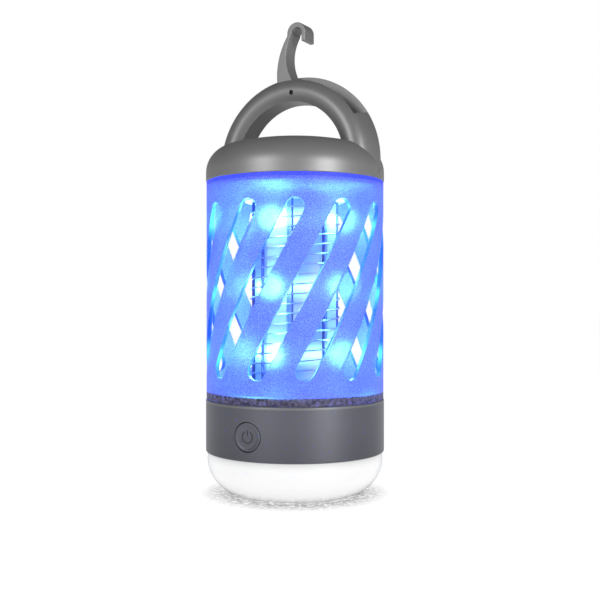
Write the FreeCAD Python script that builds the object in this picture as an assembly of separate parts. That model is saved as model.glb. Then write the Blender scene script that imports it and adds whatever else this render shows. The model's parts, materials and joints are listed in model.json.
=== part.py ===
import FreeCAD, Part
import math
import os

# Rechargeable bug zapper with a lantern in its base. Millimetres, +Z up, origin at the
# centre of the face it stands on. The front, with the power button, faces -Y.

Vector = FreeCAD.Vector

# ---- overall sizes ----------------------------------------------------------------------
body_radius = 44.0
diffuser_height = 21.0
base_height = 25.7
cage_height = 106.3
fit_gap = 0.2                   # between pieces fixed to each other
moving_gap = 0.35               # between pieces that slide or turn past each other
pin_gap = 0.05                  # radial play of a pin in its bore
overlap = 0.5                   # how far shapes that are joined run into each other

# ---- lantern ----------------------------------------------------------------------------
diffuser_radius = 43.2
diffuser_wall = 2.0
diffuser_edge_radius = 17.7
lip_wall = 1.6
lip_height = 1.4
board_thick = 1.6
lantern_led_count = 16
lantern_led_circle = 30.0
lantern_led_size = 3.0
lantern_led_height = 0.9

# ---- base -------------------------------------------------------------------------------
base_wall = 2.4
floor_thick = 1.6
deck_thick = 1.7
collar_rise = 3.7
collar_wall = 2.9
deck_sink = 0.6
deck_screw_length = 7.0
deck_hole_radius = 4.0
boss_radius = 3.0
boss_circle = 36.0
boss_angles = (-135.0, -45.0, 45.0, 135.0)
post_circle = 37.4
post_angles = (-150.0, -30.0, 65.0, 115.0)
screw_radius = 1.0
screw_head_radius = 2.1
screw_head_height = 1.1
main_board_rise = 4.2
main_board_margin = 1.8
main_board_front = 36.2
main_board_back = 0.6
rest_radius = 2.0
rest_setback = 8.5
rest_spread = 6.5

# ---- battery ----------------------------------------------------------------------------
cell_radius = 9.15
cell_length = 65.0
cell_offset = 12.0
cradle_floor = 1.0
cradle_wall = 1.3
contact_thick = 0.4
contact_rise = 4.0               # above the cell's axis
cell_round = 0.8
cell_cap_height = 1.2
cell_cap_radius = 3.2
contact_half = 4.6
cell_side_gap = 0.4
cradle_lip = 1.2

# ---- power parts on the main board -------------------------------------------------------
transformer_size = (15.0, 12.0, 11.0)
transformer_place = (-14.0, -13.0)
capacitor_size = (5.5, 12.5, 10.0)
capacitor_place = (2.5, -12.0)
chip_places = ((13.0, -9.0), (13.0, -19.0), (-8.0, -27.0))
chip_size = (5.0, 4.0, 1.5)
lead_radius = 0.6
lead_bend = 0.9
lead_spread = 3.5
transformer_leg = 3.0
transformer_yoke = 2.0
bobbin_inset = 1.2
capacitor_round = 1.2

# ---- button -----------------------------------------------------------------------------
button_radius = 6.75
button_height = 32.3
button_travel = 0.8
button_flange = 1.15
button_flange_thick = 1.0
button_pad_wall = 2.4
button_pad_depth = 4.6
button_round = 0.5
button_stem_radius = 1.6
button_sink = 0.1               # behind the wall's foremost line
button_rest_gap = 0.1           # from the flange to its seat and from the stem to the switch
button_bore_gap = 0.3
button_dish_depth = 0.35
button_dish_edge = 1.1
symbol_radius = 2.9
symbol_line = 0.65
symbol_depth = 0.35
symbol_gap_angle = 62.0
symbol_bar_start = 0.25         # of the symbol's radius, from its middle
symbol_bar_end = 1.1
switch_size = (6.0, 4.2, 4.6)
switch_nose_radius = 1.2
switch_nose_length = 0.8

# ---- charging port ----------------------------------------------------------------------
socket_size = (8.9, 7.3, 3.2)
socket_wall = 0.35
socket_tongue = 0.7
port_pad_depth = 4.0
port_pad_side = 3.2
port_floor_thick = 1.4
port_rise = 1.9
port_pin_hold = 1.2
port_pin_end = 1.0
nick_radius = 1.3
nick_half = 2.6
flap_width = 13.0
flap_height = 8.4
flap_knuckle = 0.95
flap_pin_radius = 0.5
flap_sink = 0.05
flap_root = 0.6
flap_lift = 0.1                  # of the plate above the knuckle
flap_neck = 0.6                  # of the knuckle's radius
socket_corner = 0.4             # of its height
socket_back = 1.2
tongue_side = 1.4
tongue_end = 1.0
charge_board_size = (18.0, 13.0, 1.2)

# ---- cage -------------------------------------------------------------------------------
cage_inset = 0.3
cage_wall = 2.2
slot_count = 12
slot_width = 8.6
slot_turn = 54.0
slot_low_margin = 11.4
slot_high_margin = 11.5
slot_first_angle = 0.0
slot_end_swell = 0.05           # the round ends are a hair wider than the straight run

# ---- killing grid and light column --------------------------------------------------------
grid_turn = 4.0                 # the whole grid is turned a little from the front
grid_radius = 22.0
grid_wire_radius = 0.4
grid_wire_clear = 0.1            # from a wire to the posts it is wound over
grid_foot_rise = 0.5
holder_round = 1.0
grid_pitch = 9.2
holder_radius = 24.8
holder_low_height = 5.5
holder_high_height = 4.0
holder_bore = 14.0
socket_depth = 2.6
grid_head_gap = 5.5             # from the upper holder to the cage's top edge
wire_margin = 2.6
post_count = 8
post_width = 1.5
post_depth = 1.75
led_side_count = 4
led_board_width = 10.5
led_board_thick = 1.1
led_board_margin = 1.4
led_face = 19.9                 # from the axis to the front of the LED boards
column_wall = 1.6
led_size = 3.4
led_height = 0.7
led_spacing = 32.5
led_rise = 3.5                   # of the rows' middle above the column's
board_side_gap = 0.15
led_rows = 3

# ---- cap --------------------------------------------------------------------------------
cap_skirt = 4.5
cap_shoulder = 13.5
cap_crown_angle = 13.0
cap_wall = 2.4
cap_lip_height = 2.9
cap_lip_wall = 2.2
ceiling_thick = 1.8
cap_boss_circle = 27.0
cap_boss_radius = 3.4

# ---- handle -----------------------------------------------------------------------------
handle_inner_radius = 30.1
handle_depth = 13.8
handle_half_width = 8.3
handle_inner_half_width = 6.0
handle_front_drop = 3.2         # how much lower the front shoulder is than the back one
handle_centre_rise = 9.3        # arch centre above the cap's lower edge
ear_centre_rise = 10.6
handle_screw_radius = 1.5
handle_screw_length = 12.0
handle_screw_head = 2.8
handle_screw_head_height = 1.8

# ---- hook -------------------------------------------------------------------------------
hook_pin_radius = 1.2
hook_pin_circle = 34.1
hook_pin_angle = 4.0
hook_pin_inset = 1.3
hook_width = 9.2
hook_length = 35.0
hook_swing_gap = 1.6             # past a folded hook's far end
hook_root_width = 9.8
hook_root_rise = 4.7
hook_root_side = 9.4
hook_lobe = 2.2
hook_curl_radius = 2.8
hook_curl_wall = 2.6
hook_tip_wall = 2.2
hook_tip_drop = 4.2
hook_bow = 0.6
slot_floor_wall = 1.4

# ---- heights and radii that follow --------------------------------------------------------
base_bottom = diffuser_height
base_top = base_bottom + base_height
cage_top = base_top + cage_height
floor_bottom = base_bottom + board_thick
floor_top = floor_bottom + floor_thick
base_inner = body_radius - base_wall
deck_bottom = base_top - deck_thick
collar_top = base_top + collar_rise
cage_outer = body_radius - cage_inset
cage_inner = cage_outer - cage_wall
collar_radius = cage_inner - moving_gap
main_board_bottom = floor_top + main_board_rise
main_board_top = main_board_bottom + board_thick
main_board_radius = boss_circle + screw_radius + main_board_margin
holder_low_top = base_top + holder_low_height
holder_high_top = cage_top - grid_head_gap
holder_high_bottom = holder_high_top - holder_high_height
column_face = led_face - led_board_thick
handle_centre = cage_top + handle_centre_rise
ear_centre = cage_top + ear_centre_rise
handle_outer_radius = handle_inner_radius + handle_depth
handle_slot_half = hook_width / 2 + moving_gap
reach = 10 * body_radius        # longer than anything that is cut


# ---- small helpers ------------------------------------------------------------------------
def polar(radius, degrees, height=0.0):
    turn = math.radians(degrees)
    return Vector(radius * math.cos(turn), radius * math.sin(turn), height)


def rod(radius, low, high, x=0.0, y=0.0):
    return Part.makeCylinder(radius, high - low, Vector(x, y, low))


def rod_y(radius, front, back, x, height):
    return Part.makeCylinder(radius, back - front, Vector(x, front, height), Vector(0, 1, 0))


def rod_x(radius, left, right, y, height):
    return Part.makeCylinder(radius, right - left, Vector(left, y, height), Vector(1, 0, 0))


def ring(outer, inner, low, high):
    return rod(outer, low, high).cut(rod(inner, low - overlap, high + overlap))


def block(x0, x1, y0, y1, z0, z1):
    return Part.makeBox(x1 - x0, y1 - y0, z1 - z0, Vector(x0, y0, z0))


def spun(shape, degrees):
    turned = shape.copy()
    turned.rotate(Vector(0, 0, 0), Vector(0, 0, 1), degrees)
    return turned


def revolved(edges):
    face = Part.Face(Part.Wire(edges))
    return face.revolve(Vector(0, 0, 0), Vector(0, 0, 1), 360)


def line(start, end):
    return Part.LineSegment(start, end).toShape()


def arc(start, middle, end):
    return Part.Arc(start, middle, end).toShape()


def profile(radius, height):
    return Vector(radius, 0, height)


def prism(points, thickness, direction):
    wire = Part.makePolygon(points + [points[0]])
    return Part.Face(wire).extrude(direction * thickness)


def join(shapes):
    whole = shapes[0]
    for shape in shapes[1:]:
        whole = whole.fuse(shape)
    return whole.removeSplitter()


def cut_all(shape, tools):
    for tool in tools:
        shape = shape.cut(tool)
    return shape


def group(shapes):
    return Part.makeCompound(shapes)


def screw(place, up, length, radius=screw_radius, head=screw_head_radius, head_height=screw_head_height):
    shank = Part.makeCylinder(radius, length, place, up)
    cap = Part.makeCylinder(head, head_height, place - up * head_height, up)
    cross = Part.makeBox(head, head / 4, head_height / 2)
    cross.translate(Vector(-head / 2, -head / 8, -head_height))
    turned = cross.copy()
    turned.rotate(Vector(0, 0, 0), Vector(0, 0, 1), 90)
    recess = cross.fuse(turned)
    turn = FreeCAD.Rotation(Vector(0, 0, 1), up)
    recess.Placement = FreeCAD.Placement(place, turn).multiply(recess.Placement)
    return cap.fuse(shank).removeSplitter().cut(recess)


def swept_lead(points, radius, bend):
    """A round wire along straight runs joined by tangent arcs."""
    edges = []
    start = points[0]
    for before, corner, after in zip(points, points[1:], points[2:]):
        back = (before - corner).normalize()
        ahead = (after - corner).normalize()
        half = back.getAngle(ahead) / 2
        trim = bend / math.tan(half)
        first = corner + back * trim
        last = corner + ahead * trim
        inward = (back + ahead).normalize()
        middle = corner + inward * (bend / math.sin(half) - bend)
        edges.append(line(start, first))
        edges.append(arc(first, middle, last))
        start = last
    edges.append(line(start, points[-1]))
    path = Part.Wire(edges)
    section = Part.Wire(Part.makeCircle(radius, points[0], points[1] - points[0]))
    return path.makePipeShell([section], True, False)


# ---- lantern ------------------------------------------------------------------------------
def diffuser():
    flat = diffuser_radius - diffuser_edge_radius
    side = profile(diffuser_radius, diffuser_edge_radius)
    centre = profile(flat, diffuser_edge_radius)
    slope = Vector(math.sqrt(0.5), 0, -math.sqrt(0.5))
    inner_edge = diffuser_edge_radius - diffuser_wall
    inner = diffuser_radius - diffuser_wall
    bowl = revolved([
        line(profile(0, 0), profile(flat, 0)),
        arc(profile(flat, 0), centre + slope * diffuser_edge_radius, side),
        line(side, profile(diffuser_radius, diffuser_height)),
        line(profile(diffuser_radius, diffuser_height), profile(inner, diffuser_height)),
        line(profile(inner, diffuser_height), profile(inner, diffuser_edge_radius)),
        arc(profile(inner, diffuser_edge_radius), centre + slope * inner_edge, profile(flat, diffuser_wall)),
        line(profile(flat, diffuser_wall), profile(0, diffuser_wall)),
        line(profile(0, diffuser_wall), profile(0, 0)),
    ])
    lip_outer = base_inner - fit_gap
    lip = ring(lip_outer, lip_outer - lip_wall, diffuser_height - lip_height, diffuser_height + lip_height)
    return join([bowl, lip])


def lantern_board():
    radius = base_inner - lip_wall - 3 * fit_gap
    board = rod(radius, floor_bottom - board_thick, floor_bottom)
    holes = [rod(screw_radius, 0, base_top, spot.x, spot.y) for spot in boss_spots()]
    return cut_all(board, holes)


def lantern_leds():
    low = floor_bottom - board_thick - lantern_led_height
    half = lantern_led_size / 2
    near = lantern_led_circle - half
    far = lantern_led_circle + half
    chip = block(near, far, -half, half, low, low + lantern_led_height)
    step = 360 / lantern_led_count
    return group([spun(chip, step * (number + 0.5)) for number in range(lantern_led_count)])


def lantern_screws():
    low = floor_bottom - board_thick
    length = board_thick + floor_thick + main_board_rise / 2
    return group([screw(spot + Vector(0, 0, low), Vector(0, 0, 1), length) for spot in boss_spots()])


# ---- base ---------------------------------------------------------------------------------
def boss_spots():
    return [polar(boss_circle, angle) for angle in boss_angles]


def post_spots():
    return [polar(post_circle, angle) for angle in post_angles]


def port_height():
    return floor_top + port_rise + flap_height / 2


def flap_axis():
    return Vector(0, base_inner + flap_knuckle + fit_gap, port_height() - flap_height / 2 + flap_knuckle)


def port_floor():
    return flap_axis().y - flap_knuckle - moving_gap


def port_pocket():
    side = flap_width / 2 + moving_gap
    low = flap_axis().z - flap_knuckle - flap_root
    high = port_height() + flap_height / 2 + moving_gap
    return block(-side, side, port_floor(), reach, low, high)


def base_housing():
    wall = ring(body_radius, base_inner, base_bottom, base_top)
    floor = rod(base_inner, floor_bottom, floor_top)
    bosses = [rod(boss_radius, floor_top, main_board_bottom, spot.x, spot.y) for spot in boss_spots()]
    posts = [rod(boss_radius, floor_top, deck_bottom, spot.x, spot.y) for spot in post_spots()]
    pad_radius = button_radius + button_pad_wall
    button_pad = rod_y(pad_radius, -base_inner - overlap, -base_inner + button_pad_wall, 0, button_height)
    side = flap_width / 2 + port_pad_side
    port_pad = block(-side, side, port_floor() - port_floor_thick, body_radius - overlap,
                     floor_top, port_height() + flap_height / 2 + port_pad_side)
    rest_y = charge_board_back() - rest_setback
    rests = [rod(rest_radius, floor_top, charge_board_low(), x, rest_y) for x in (-rest_spread, rest_spread)]
    solid = join([wall, floor, button_pad, port_pad] + bosses + posts + rests)
    solid = solid.common(rod(body_radius, base_bottom, base_top))
    holes = [rod(screw_radius, 0, reach, spot.x, spot.y) for spot in boss_spots()]
    holes += [rod(screw_radius, floor_top, reach, spot.x, spot.y) for spot in post_spots()]
    bore_end = -base_inner + button_pad_depth
    button_bore = rod_y(button_radius + button_bore_gap, -reach, bore_end, 0, button_height)
    mouth_half = socket_size[0] / 2 + fit_gap
    mouth_rise = socket_size[2] / 2 + fit_gap
    mouth = block(-mouth_half, mouth_half, base_inner - port_pad_depth, reach,
                  port_height() - mouth_rise, port_height() + mouth_rise)
    axis = flap_axis()
    pin_reach = flap_width / 2 + moving_gap + port_pin_hold
    pin_bore = rod_x(flap_pin_radius + pin_gap, -pin_reach, pin_reach, axis.y, axis.z)
    nick_height = port_height() + flap_height / 2 + moving_gap
    nail_nick = rod_x(nick_radius, -nick_half, nick_half, body_radius + fit_gap, nick_height)
    return cut_all(solid, holes + [button_bore, port_pocket(), mouth, pin_bore, nail_nick])


def main_board():
    board = rod(main_board_radius, main_board_bottom, main_board_top)
    board = board.common(block(-reach, reach, -main_board_front, main_board_back, 0, reach))
    notches = [rod(boss_radius + 2 * fit_gap, 0, reach, spot.x, spot.y) for spot in post_spots()]
    holes = [rod(screw_radius, 0, reach, spot.x, spot.y) for spot in boss_spots()[:2]]
    return cut_all(board, notches + holes)


def board_screws():
    length = board_thick + main_board_rise / 3
    spots = [spot + Vector(0, 0, main_board_top) for spot in boss_spots()[:2]]
    return group([screw(spot, Vector(0, 0, -1), length) for spot in spots])


def on_board(size, place):
    width, depth, height = size
    x, y = place
    top = main_board_top + height
    return block(x - width / 2, x + width / 2, y - depth / 2, y + depth / 2, main_board_top, top)


def transformer():
    width, depth, height = transformer_size
    core = on_board(transformer_size, transformer_place)
    x, y = transformer_place
    half = width / 2 - transformer_leg
    low = main_board_top + transformer_yoke
    window = block(x - half, x + half, y - reach, y + reach, low, low + height - 2 * transformer_yoke)
    run = half + overlap
    bobbin = rod_x(height / 2 - bobbin_inset, x - run, x + run, y, main_board_top + height / 2)
    return join([core.cut(window), bobbin])


def capacitor():
    body = on_board(capacitor_size, capacitor_place)
    rounded = [edge for edge in body.Edges if edge.BoundBox.ZLength > capacitor_size[2] / 2]
    return body.makeFillet(capacitor_round, rounded)


def control_chips():
    return group([on_board(chip_size, place) for place in chip_places])


def switch_front():
    return -main_board_front + fit_gap


def tact_switch():
    width, depth, height = switch_size
    body = on_board(switch_size, (0, switch_front() + depth / 2))
    nose = rod_y(switch_nose_radius, switch_front() - switch_nose_length, switch_front() + depth / 2, 0,
                 main_board_top + height / 2)
    return join([body, nose])


def power_symbol(face):
    """The ring with a gap at its top, and the bar in the gap, as a cutter."""
    before = face - overlap
    outer = rod_y(symbol_radius, before, face + symbol_depth, 0, button_height)
    inner = rod_y(symbol_radius - symbol_line, before - overlap, face + symbol_radius, 0, button_height)
    half = math.radians(symbol_gap_angle / 2)
    corner = Vector(2 * symbol_radius * math.sin(half), 0, 2 * symbol_radius * math.cos(half))
    middle = Vector(0, before - overlap, button_height)
    other = Vector(-corner.x, 0, corner.z)
    gap = prism([middle, middle + corner, middle + other], symbol_radius, Vector(0, 1, 0))
    bar_low = button_height + symbol_radius * symbol_bar_start
    bar_high = button_height + symbol_radius * symbol_bar_end
    bar = block(-symbol_line / 2, symbol_line / 2, before, face + symbol_depth, bar_low, bar_high)
    return outer.cut(inner).cut(gap).fuse(bar)


def power_button():
    pad_inner = -base_inner + button_pad_wall
    front = -body_radius + button_sink
    flange_front = pad_inner + button_rest_gap
    cap = rod_y(button_radius, front, flange_front + overlap, 0, button_height)
    rim = [edge for edge in cap.Edges if edge.Closed and edge.CenterOfMass.y < front + button_round]
    cap = cap.makeFillet(button_round, rim[:1])
    dish = rod_y(button_radius - button_dish_edge, -reach, front + button_dish_depth, 0, button_height)
    flange_radius = button_radius + button_flange
    flange = rod_y(flange_radius, flange_front, flange_front + button_flange_thick, 0, button_height)
    stem_end = switch_front() - switch_nose_length - button_travel - button_rest_gap
    stem = rod_y(button_stem_radius, pad_inner, stem_end, 0, button_height)
    whole = join([cap.cut(dish), flange, stem])
    return whole.cut(power_symbol(front + button_dish_depth))


def charge_board_low():
    return port_height() - socket_size[2] / 2 - charge_board_size[2]


def charge_board_back():
    return port_floor() - port_floor_thick - fit_gap


def charge_board():
    width, depth, thick = charge_board_size
    back = charge_board_back()
    low = charge_board_low()
    return block(-width / 2, width / 2, back - depth, back, low, low + thick)


def charge_socket():
    width, depth, height = socket_size
    mouth = port_floor() - port_floor_thick / 3
    low = port_height() - height / 2
    shell = block(-width / 2, width / 2, mouth - depth, mouth, low, low + height)
    upright = [edge for edge in shell.Edges if edge.BoundBox.YLength > depth / 2]
    corner = height * socket_corner
    shell = shell.makeFillet(corner, upright)
    inner = width / 2 - socket_wall
    back = mouth - depth + socket_back
    hollow = block(-inner, inner, back, reach, low + socket_wall, low + height - socket_wall)
    long_edges = [edge for edge in hollow.Edges if edge.BoundBox.YLength > depth / 2]
    hollow = hollow.makeFillet(corner - socket_wall, long_edges)
    half = width / 2 - tongue_side
    low = port_height() - socket_tongue / 2
    tongue = block(-half, half, back - fit_gap, mouth - tongue_end, low, low + socket_tongue)
    return join([shell.cut(hollow), tongue])


def port_cover():
    axis = flap_axis()
    half = flap_width / 2
    top = port_height() + flap_height / 2
    back = port_floor() + moving_gap
    plate_low = axis.z + flap_knuckle + flap_lift
    plate = block(-half, half, back, reach, plate_low, top)
    neck = block(-half, half, back, axis.y + flap_knuckle * flap_neck, axis.z, plate_low + flap_lift)
    plate = join([plate.common(rod(body_radius - flap_sink, 0, reach)), neck])
    knuckle = rod_x(flap_knuckle, -half, half, axis.y, axis.z)
    pin_reach = half + moving_gap + port_pin_end
    pin = rod_x(flap_pin_radius, -pin_reach, pin_reach, axis.y, axis.z)
    return join([plate, knuckle, pin])


def battery_centre():
    return Vector(0, cell_offset, floor_top + cradle_floor + cell_radius)


def battery_cell():
    centre = battery_centre()
    half = cell_length / 2
    can = rod_x(cell_radius, -half, half - cell_cap_height, centre.y, centre.z)
    can = can.makeFillet(cell_round, [edge for edge in can.Edges if edge.Closed])
    cap = rod_x(cell_cap_radius, half - cell_cap_height - overlap, half, centre.y, centre.z)
    return join([can, cap])


def battery_contacts():
    centre = battery_centre()
    half = cell_length / 2
    low = floor_top + cradle_floor
    high = centre.z + contact_rise
    front = centre.y - contact_half
    back = centre.y + contact_half
    left = block(-half - contact_thick, -half, front, back, low, high)
    right = block(half, half + contact_thick, front, back, low, high)
    return group([left, right])


def battery_cradle():
    centre = battery_centre()
    half = cell_length / 2 + contact_thick
    front = centre.y - cell_radius - cell_side_gap
    back = centre.y + cell_radius + cell_side_gap
    tray = block(-half - cradle_wall, half + cradle_wall, front, back, floor_top, centre.z)
    space = block(-half, half, front + cradle_lip, back - cradle_lip, floor_top + cradle_floor, reach)
    seat = rod_x(cell_radius + pin_gap, -half, half, centre.y, centre.z)
    return tray.cut(space).cut(seat)


def deck():
    plate = rod(base_inner - fit_gap, deck_bottom, base_top)
    collar = ring(collar_radius, collar_radius - collar_wall, base_top - overlap, collar_top)
    holes = [rod(screw_radius, 0, reach, spot.x, spot.y) for spot in post_spots()]
    sink_radius = screw_head_radius + fit_gap
    sinks = [rod(sink_radius, base_top - deck_sink, reach, spot.x, spot.y) for spot in post_spots()]
    wire_ways = [rod(lead_radius + fit_gap, 0, reach, spot.x, spot.y) for spot in wire_feet()]
    wire_ways.append(rod(deck_hole_radius, 0, reach))
    return cut_all(join([plate, collar]), holes + sinks + wire_ways)


def deck_screws():
    spots = [spot + Vector(0, 0, base_top - deck_sink) for spot in post_spots()]
    return group([screw(spot, Vector(0, 0, -1), deck_screw_length) for spot in spots])


# ---- killing grid ---------------------------------------------------------------------------
def wire_angles():
    return (grid_turn - 135.0, grid_turn + 45.0)


def wire_feet():
    return [polar(grid_radius, angle) for angle in wire_angles()]


def post_shape(low, high, grow=0.0):
    outer = grid_radius - grid_wire_radius - grid_wire_clear
    half = post_width / 2 + grow
    return block(outer - post_depth - grow, outer + grow, -half, half, low, high)


def post_turns():
    step = 360 / post_count
    return [grid_turn + step * (number + 0.5) for number in range(post_count)]


def grid_post(angle):
    return spun(post_shape(holder_low_top - socket_depth, holder_high_bottom + socket_depth), angle)


def post_sockets(low, high):
    return [spun(post_shape(low, high, pin_gap), angle) for angle in post_turns()]


def grid_lower_holder():
    disc = rod(holder_radius, base_top, holder_low_top)
    high = holder_low_top - holder_round
    rim = [edge for edge in disc.Edges if edge.Closed and edge.CenterOfMass.z > high]
    disc = disc.makeFillet(holder_round, rim[:1])
    ways = [rod(grid_wire_radius + pin_gap, 0, reach, spot.x, spot.y) for spot in wire_feet()]
    bore = rod(holder_bore, 0, reach)
    return cut_all(disc, post_sockets(holder_low_top - socket_depth, reach) + ways + [bore])


def grid_upper_holder():
    disc = rod(holder_radius, holder_high_bottom, holder_high_top)
    high = holder_high_top - holder_round
    rim = [edge for edge in disc.Edges if edge.Closed and edge.CenterOfMass.z > high]
    disc = disc.makeFillet(holder_round, rim[:1])
    return cut_all(disc, post_sockets(0, holder_high_bottom + socket_depth))


def grid_wire(angle):
    low = holder_low_top + wire_margin
    high = holder_high_bottom - wire_margin
    helix = Part.makeHelix(grid_pitch, high - low, grid_radius)
    rise = math.atan2(grid_pitch, 2 * math.pi * grid_radius)
    start = Vector(grid_radius, 0, 0)
    heading = Vector(0, math.cos(rise), math.sin(rise))
    section = Part.Wire(Part.makeCircle(grid_wire_radius, start, heading))
    coil = Part.Wire(helix.Edges).makePipeShell([section], True, True)
    coil.translate(Vector(0, 0, low))
    foot = rod(grid_wire_radius, base_top + grid_foot_rise, low, grid_radius, 0)
    elbow = Part.makeSphere(grid_wire_radius, Vector(grid_radius, 0, low))
    return spun(coil.fuse(foot).fuse(elbow), angle)


# ---- light column ---------------------------------------------------------------------------
def column_outline(inset):
    face = column_face - inset
    half = led_board_width / 2 + board_side_gap - inset * math.tan(math.radians(22.5))
    corners = []
    for side in range(led_side_count):
        angle = grid_turn + side * 360 / led_side_count
        spread = math.degrees(math.atan2(half, face))
        radius = math.hypot(half, face)
        corners.append(polar(radius, angle - spread))
        corners.append(polar(radius, angle + spread))
    return corners


def light_column():
    low = holder_low_top
    height = holder_high_bottom - low
    up = Vector(0, 0, 1)
    shell = prism(column_outline(0), height, up)
    hollow = prism(column_outline(column_wall), height, up)
    tube = shell.cut(hollow)
    tube.translate(Vector(0, 0, low))
    return tube


def led_board(side):
    low = holder_low_top + led_board_margin
    high = holder_high_bottom - led_board_margin
    half = led_board_width / 2
    board = block(column_face, led_face, -half, half, low, high)
    return spun(board, grid_turn + side * 360 / led_side_count)


def led_heights():
    middle = (holder_low_top + holder_high_bottom) / 2 + led_rise
    return [middle + led_spacing * (row - (led_rows - 1) / 2) for row in range(led_rows)]


def uv_leds():
    half = led_size / 2
    chips = []
    for side in range(led_side_count):
        angle = grid_turn + side * 360 / led_side_count
        for height in led_heights():
            body = block(led_face, led_face + led_height, -half, half, height - half, height + half)
            chips.append(spun(body, angle))
    return group(chips)


def lead_in_base(number):
    foot = wire_feet()[number]
    x, y = transformer_place
    side = lead_spread if number else -lead_spread
    start = Vector(x + side, y, main_board_top + transformer_size[2])
    height = deck_bottom - lead_radius - fit_gap
    turn = Vector(start.x, start.y, height)
    over = Vector(foot.x, foot.y, height)
    return swept_lead([start, turn, over, Vector(foot.x, foot.y, base_top)], lead_radius, lead_bend)


# ---- cage -----------------------------------------------------------------------------------
def slot_cutter():
    middle = (cage_outer + cage_inner) / 2
    low = base_top + slot_low_margin + slot_width / 2
    high = cage_top - slot_high_margin - slot_width / 2
    pitch = (high - low) * 360 / slot_turn
    rise = math.atan2(pitch, 2 * math.pi * middle)
    helix = Part.makeHelix(pitch, high - low, middle)
    across = Vector(0, math.sin(rise), -math.cos(rise)) * (slot_width / 2)
    deep = Vector(cage_wall * 1.5, 0, 0)
    start = Vector(middle, 0, 0)
    corners = [start - across - deep, start + across - deep, start + across + deep, start - across + deep]
    section = Part.makePolygon(corners + [corners[0]])
    band = Part.Wire(helix.Edges).makePipeShell([section], True, True)
    band.translate(Vector(0, 0, low))
    ends = []
    for turn, height in ((0, low), (slot_turn, high)):
        end = rod_x(slot_width / 2 + slot_end_swell, middle - deep.x, middle + deep.x, 0, height)
        ends.append(spun(end, turn))
    whole = band.fuse(ends)
    return spun(whole, slot_first_angle - slot_turn)


def cage():
    shell = ring(cage_outer, cage_inner, base_top, cage_top)
    cutter = slot_cutter()
    slots = [spun(cutter, 360 / slot_count * number) for number in range(slot_count)]
    return shell.cut(slots)


# ---- cap ------------------------------------------------------------------------------------
def dome(inset):
    """The cap's solid of revolution, drawn in by inset, down to the cage's top edge."""
    outer = body_radius - inset
    shoulder = cap_shoulder - inset
    low = cage_top
    start = low + cap_skirt
    turn = math.radians(90 - cap_crown_angle)
    bend = profile(outer - shoulder, start)
    knee = bend + Vector(shoulder * math.cos(turn), 0, shoulder * math.sin(turn))
    half = bend + Vector(shoulder * math.cos(turn / 2), 0, shoulder * math.sin(turn / 2))
    crown = knee.x / math.sin(math.radians(cap_crown_angle))
    centre = knee.z - crown * math.cos(math.radians(cap_crown_angle))
    lean = math.radians(cap_crown_angle / 2)
    top = profile(0, centre + crown)
    return revolved([
        line(profile(0, low), profile(outer, low)),
        line(profile(outer, low), profile(outer, start)),
        arc(profile(outer, start), half, knee),
        arc(knee, profile(crown * math.sin(lean), centre + crown * math.cos(lean)), top),
        line(top, profile(0, low)),
    ])


def cap_boss_spots():
    return [polar(cap_boss_circle, 45 + 90 * number) for number in range(4)]


def top_cap():
    outer = dome(0)
    hollow = dome(cap_wall).cut(handle_body(fit_gap + cap_wall))
    lip = ring(collar_radius, collar_radius - cap_lip_wall, cage_top - cap_lip_height, cage_top + cap_wall)
    bridge = ring(body_radius - cap_wall / 2, collar_radius - cap_lip_wall, cage_top, cage_top + cap_wall)
    boss_top = cage_top + cap_skirt + cap_shoulder - cap_wall * 0.7
    bosses = [rod(cap_boss_radius, ceiling_top(), boss_top, spot.x, spot.y) for spot in cap_boss_spots()]
    whole = join([outer.cut(hollow), lip, bridge] + bosses).cut(handle_body(fit_gap))
    holes = [rod(screw_radius, 0, cage_top + cap_shoulder / 2, spot.x, spot.y) for spot in cap_boss_spots()]
    screw_way = rod_x(handle_screw_radius, -reach, reach, 0, ear_centre)
    seat = handle_inner_radius - fit_gap - cap_wall
    head_way = rod_x(handle_screw_head + fit_gap, -seat, seat, 0, ear_centre)
    return cut_all(whole, holes + [screw_way, head_way])


def ceiling_top():
    return cage_top - cap_lip_height + 0.2 + ceiling_thick


def ceiling_plate():
    plate = rod(collar_radius - cap_lip_wall - fit_gap, ceiling_top() - ceiling_thick, ceiling_top())
    holes = [rod(screw_radius, 0, reach, spot.x, spot.y) for spot in cap_boss_spots()]
    return cut_all(plate, holes)


def ceiling_screws():
    low = ceiling_top() - ceiling_thick
    length = ceiling_thick + cap_shoulder / 2
    return group([screw(spot + Vector(0, 0, low), Vector(0, 0, 1), length) for spot in cap_boss_spots()])


# ---- handle and hook --------------------------------------------------------------------------
def section_point(depth, y):
    """A point of the handle's section, as it stands at the arch's right foot."""
    return Vector(handle_inner_radius + depth, y, handle_centre)


def handle_section(grow):
    wide = handle_half_width + grow
    flat = handle_inner_half_width + grow
    deep = handle_depth
    drop = handle_front_drop
    points = [
        section_point(-grow, -flat),
        section_point(0.27 * deep, -0.97 * wide),
        section_point(0.54 * deep, -0.93 * wide),
        section_point(deep - drop + grow * 0.7, -0.62 * wide),
        section_point(deep - 0.3 * drop + grow, 0),
        section_point(deep + grow, 0.58 * wide),
        section_point(deep - 0.35 * drop + grow * 0.7, 0.93 * wide),
        section_point(0.62 * deep, wide),
        section_point(0.27 * deep, 0.93 * wide),
        section_point(-grow, flat),
    ]
    curve = Part.BSplineCurve()
    curve.interpolate(points)
    return Part.Face(Part.Wire([curve.toShape(), line(points[-1], points[0])]))


def ear_slab(grow):
    """A round-bottomed upright slab along X, as wide as the handle's ears."""
    radius = handle_half_width + grow
    slab = rod_x(radius, -reach, reach, 0, ear_centre)
    return slab.fuse(block(-reach, reach, -radius, radius, ear_centre, reach))


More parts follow.
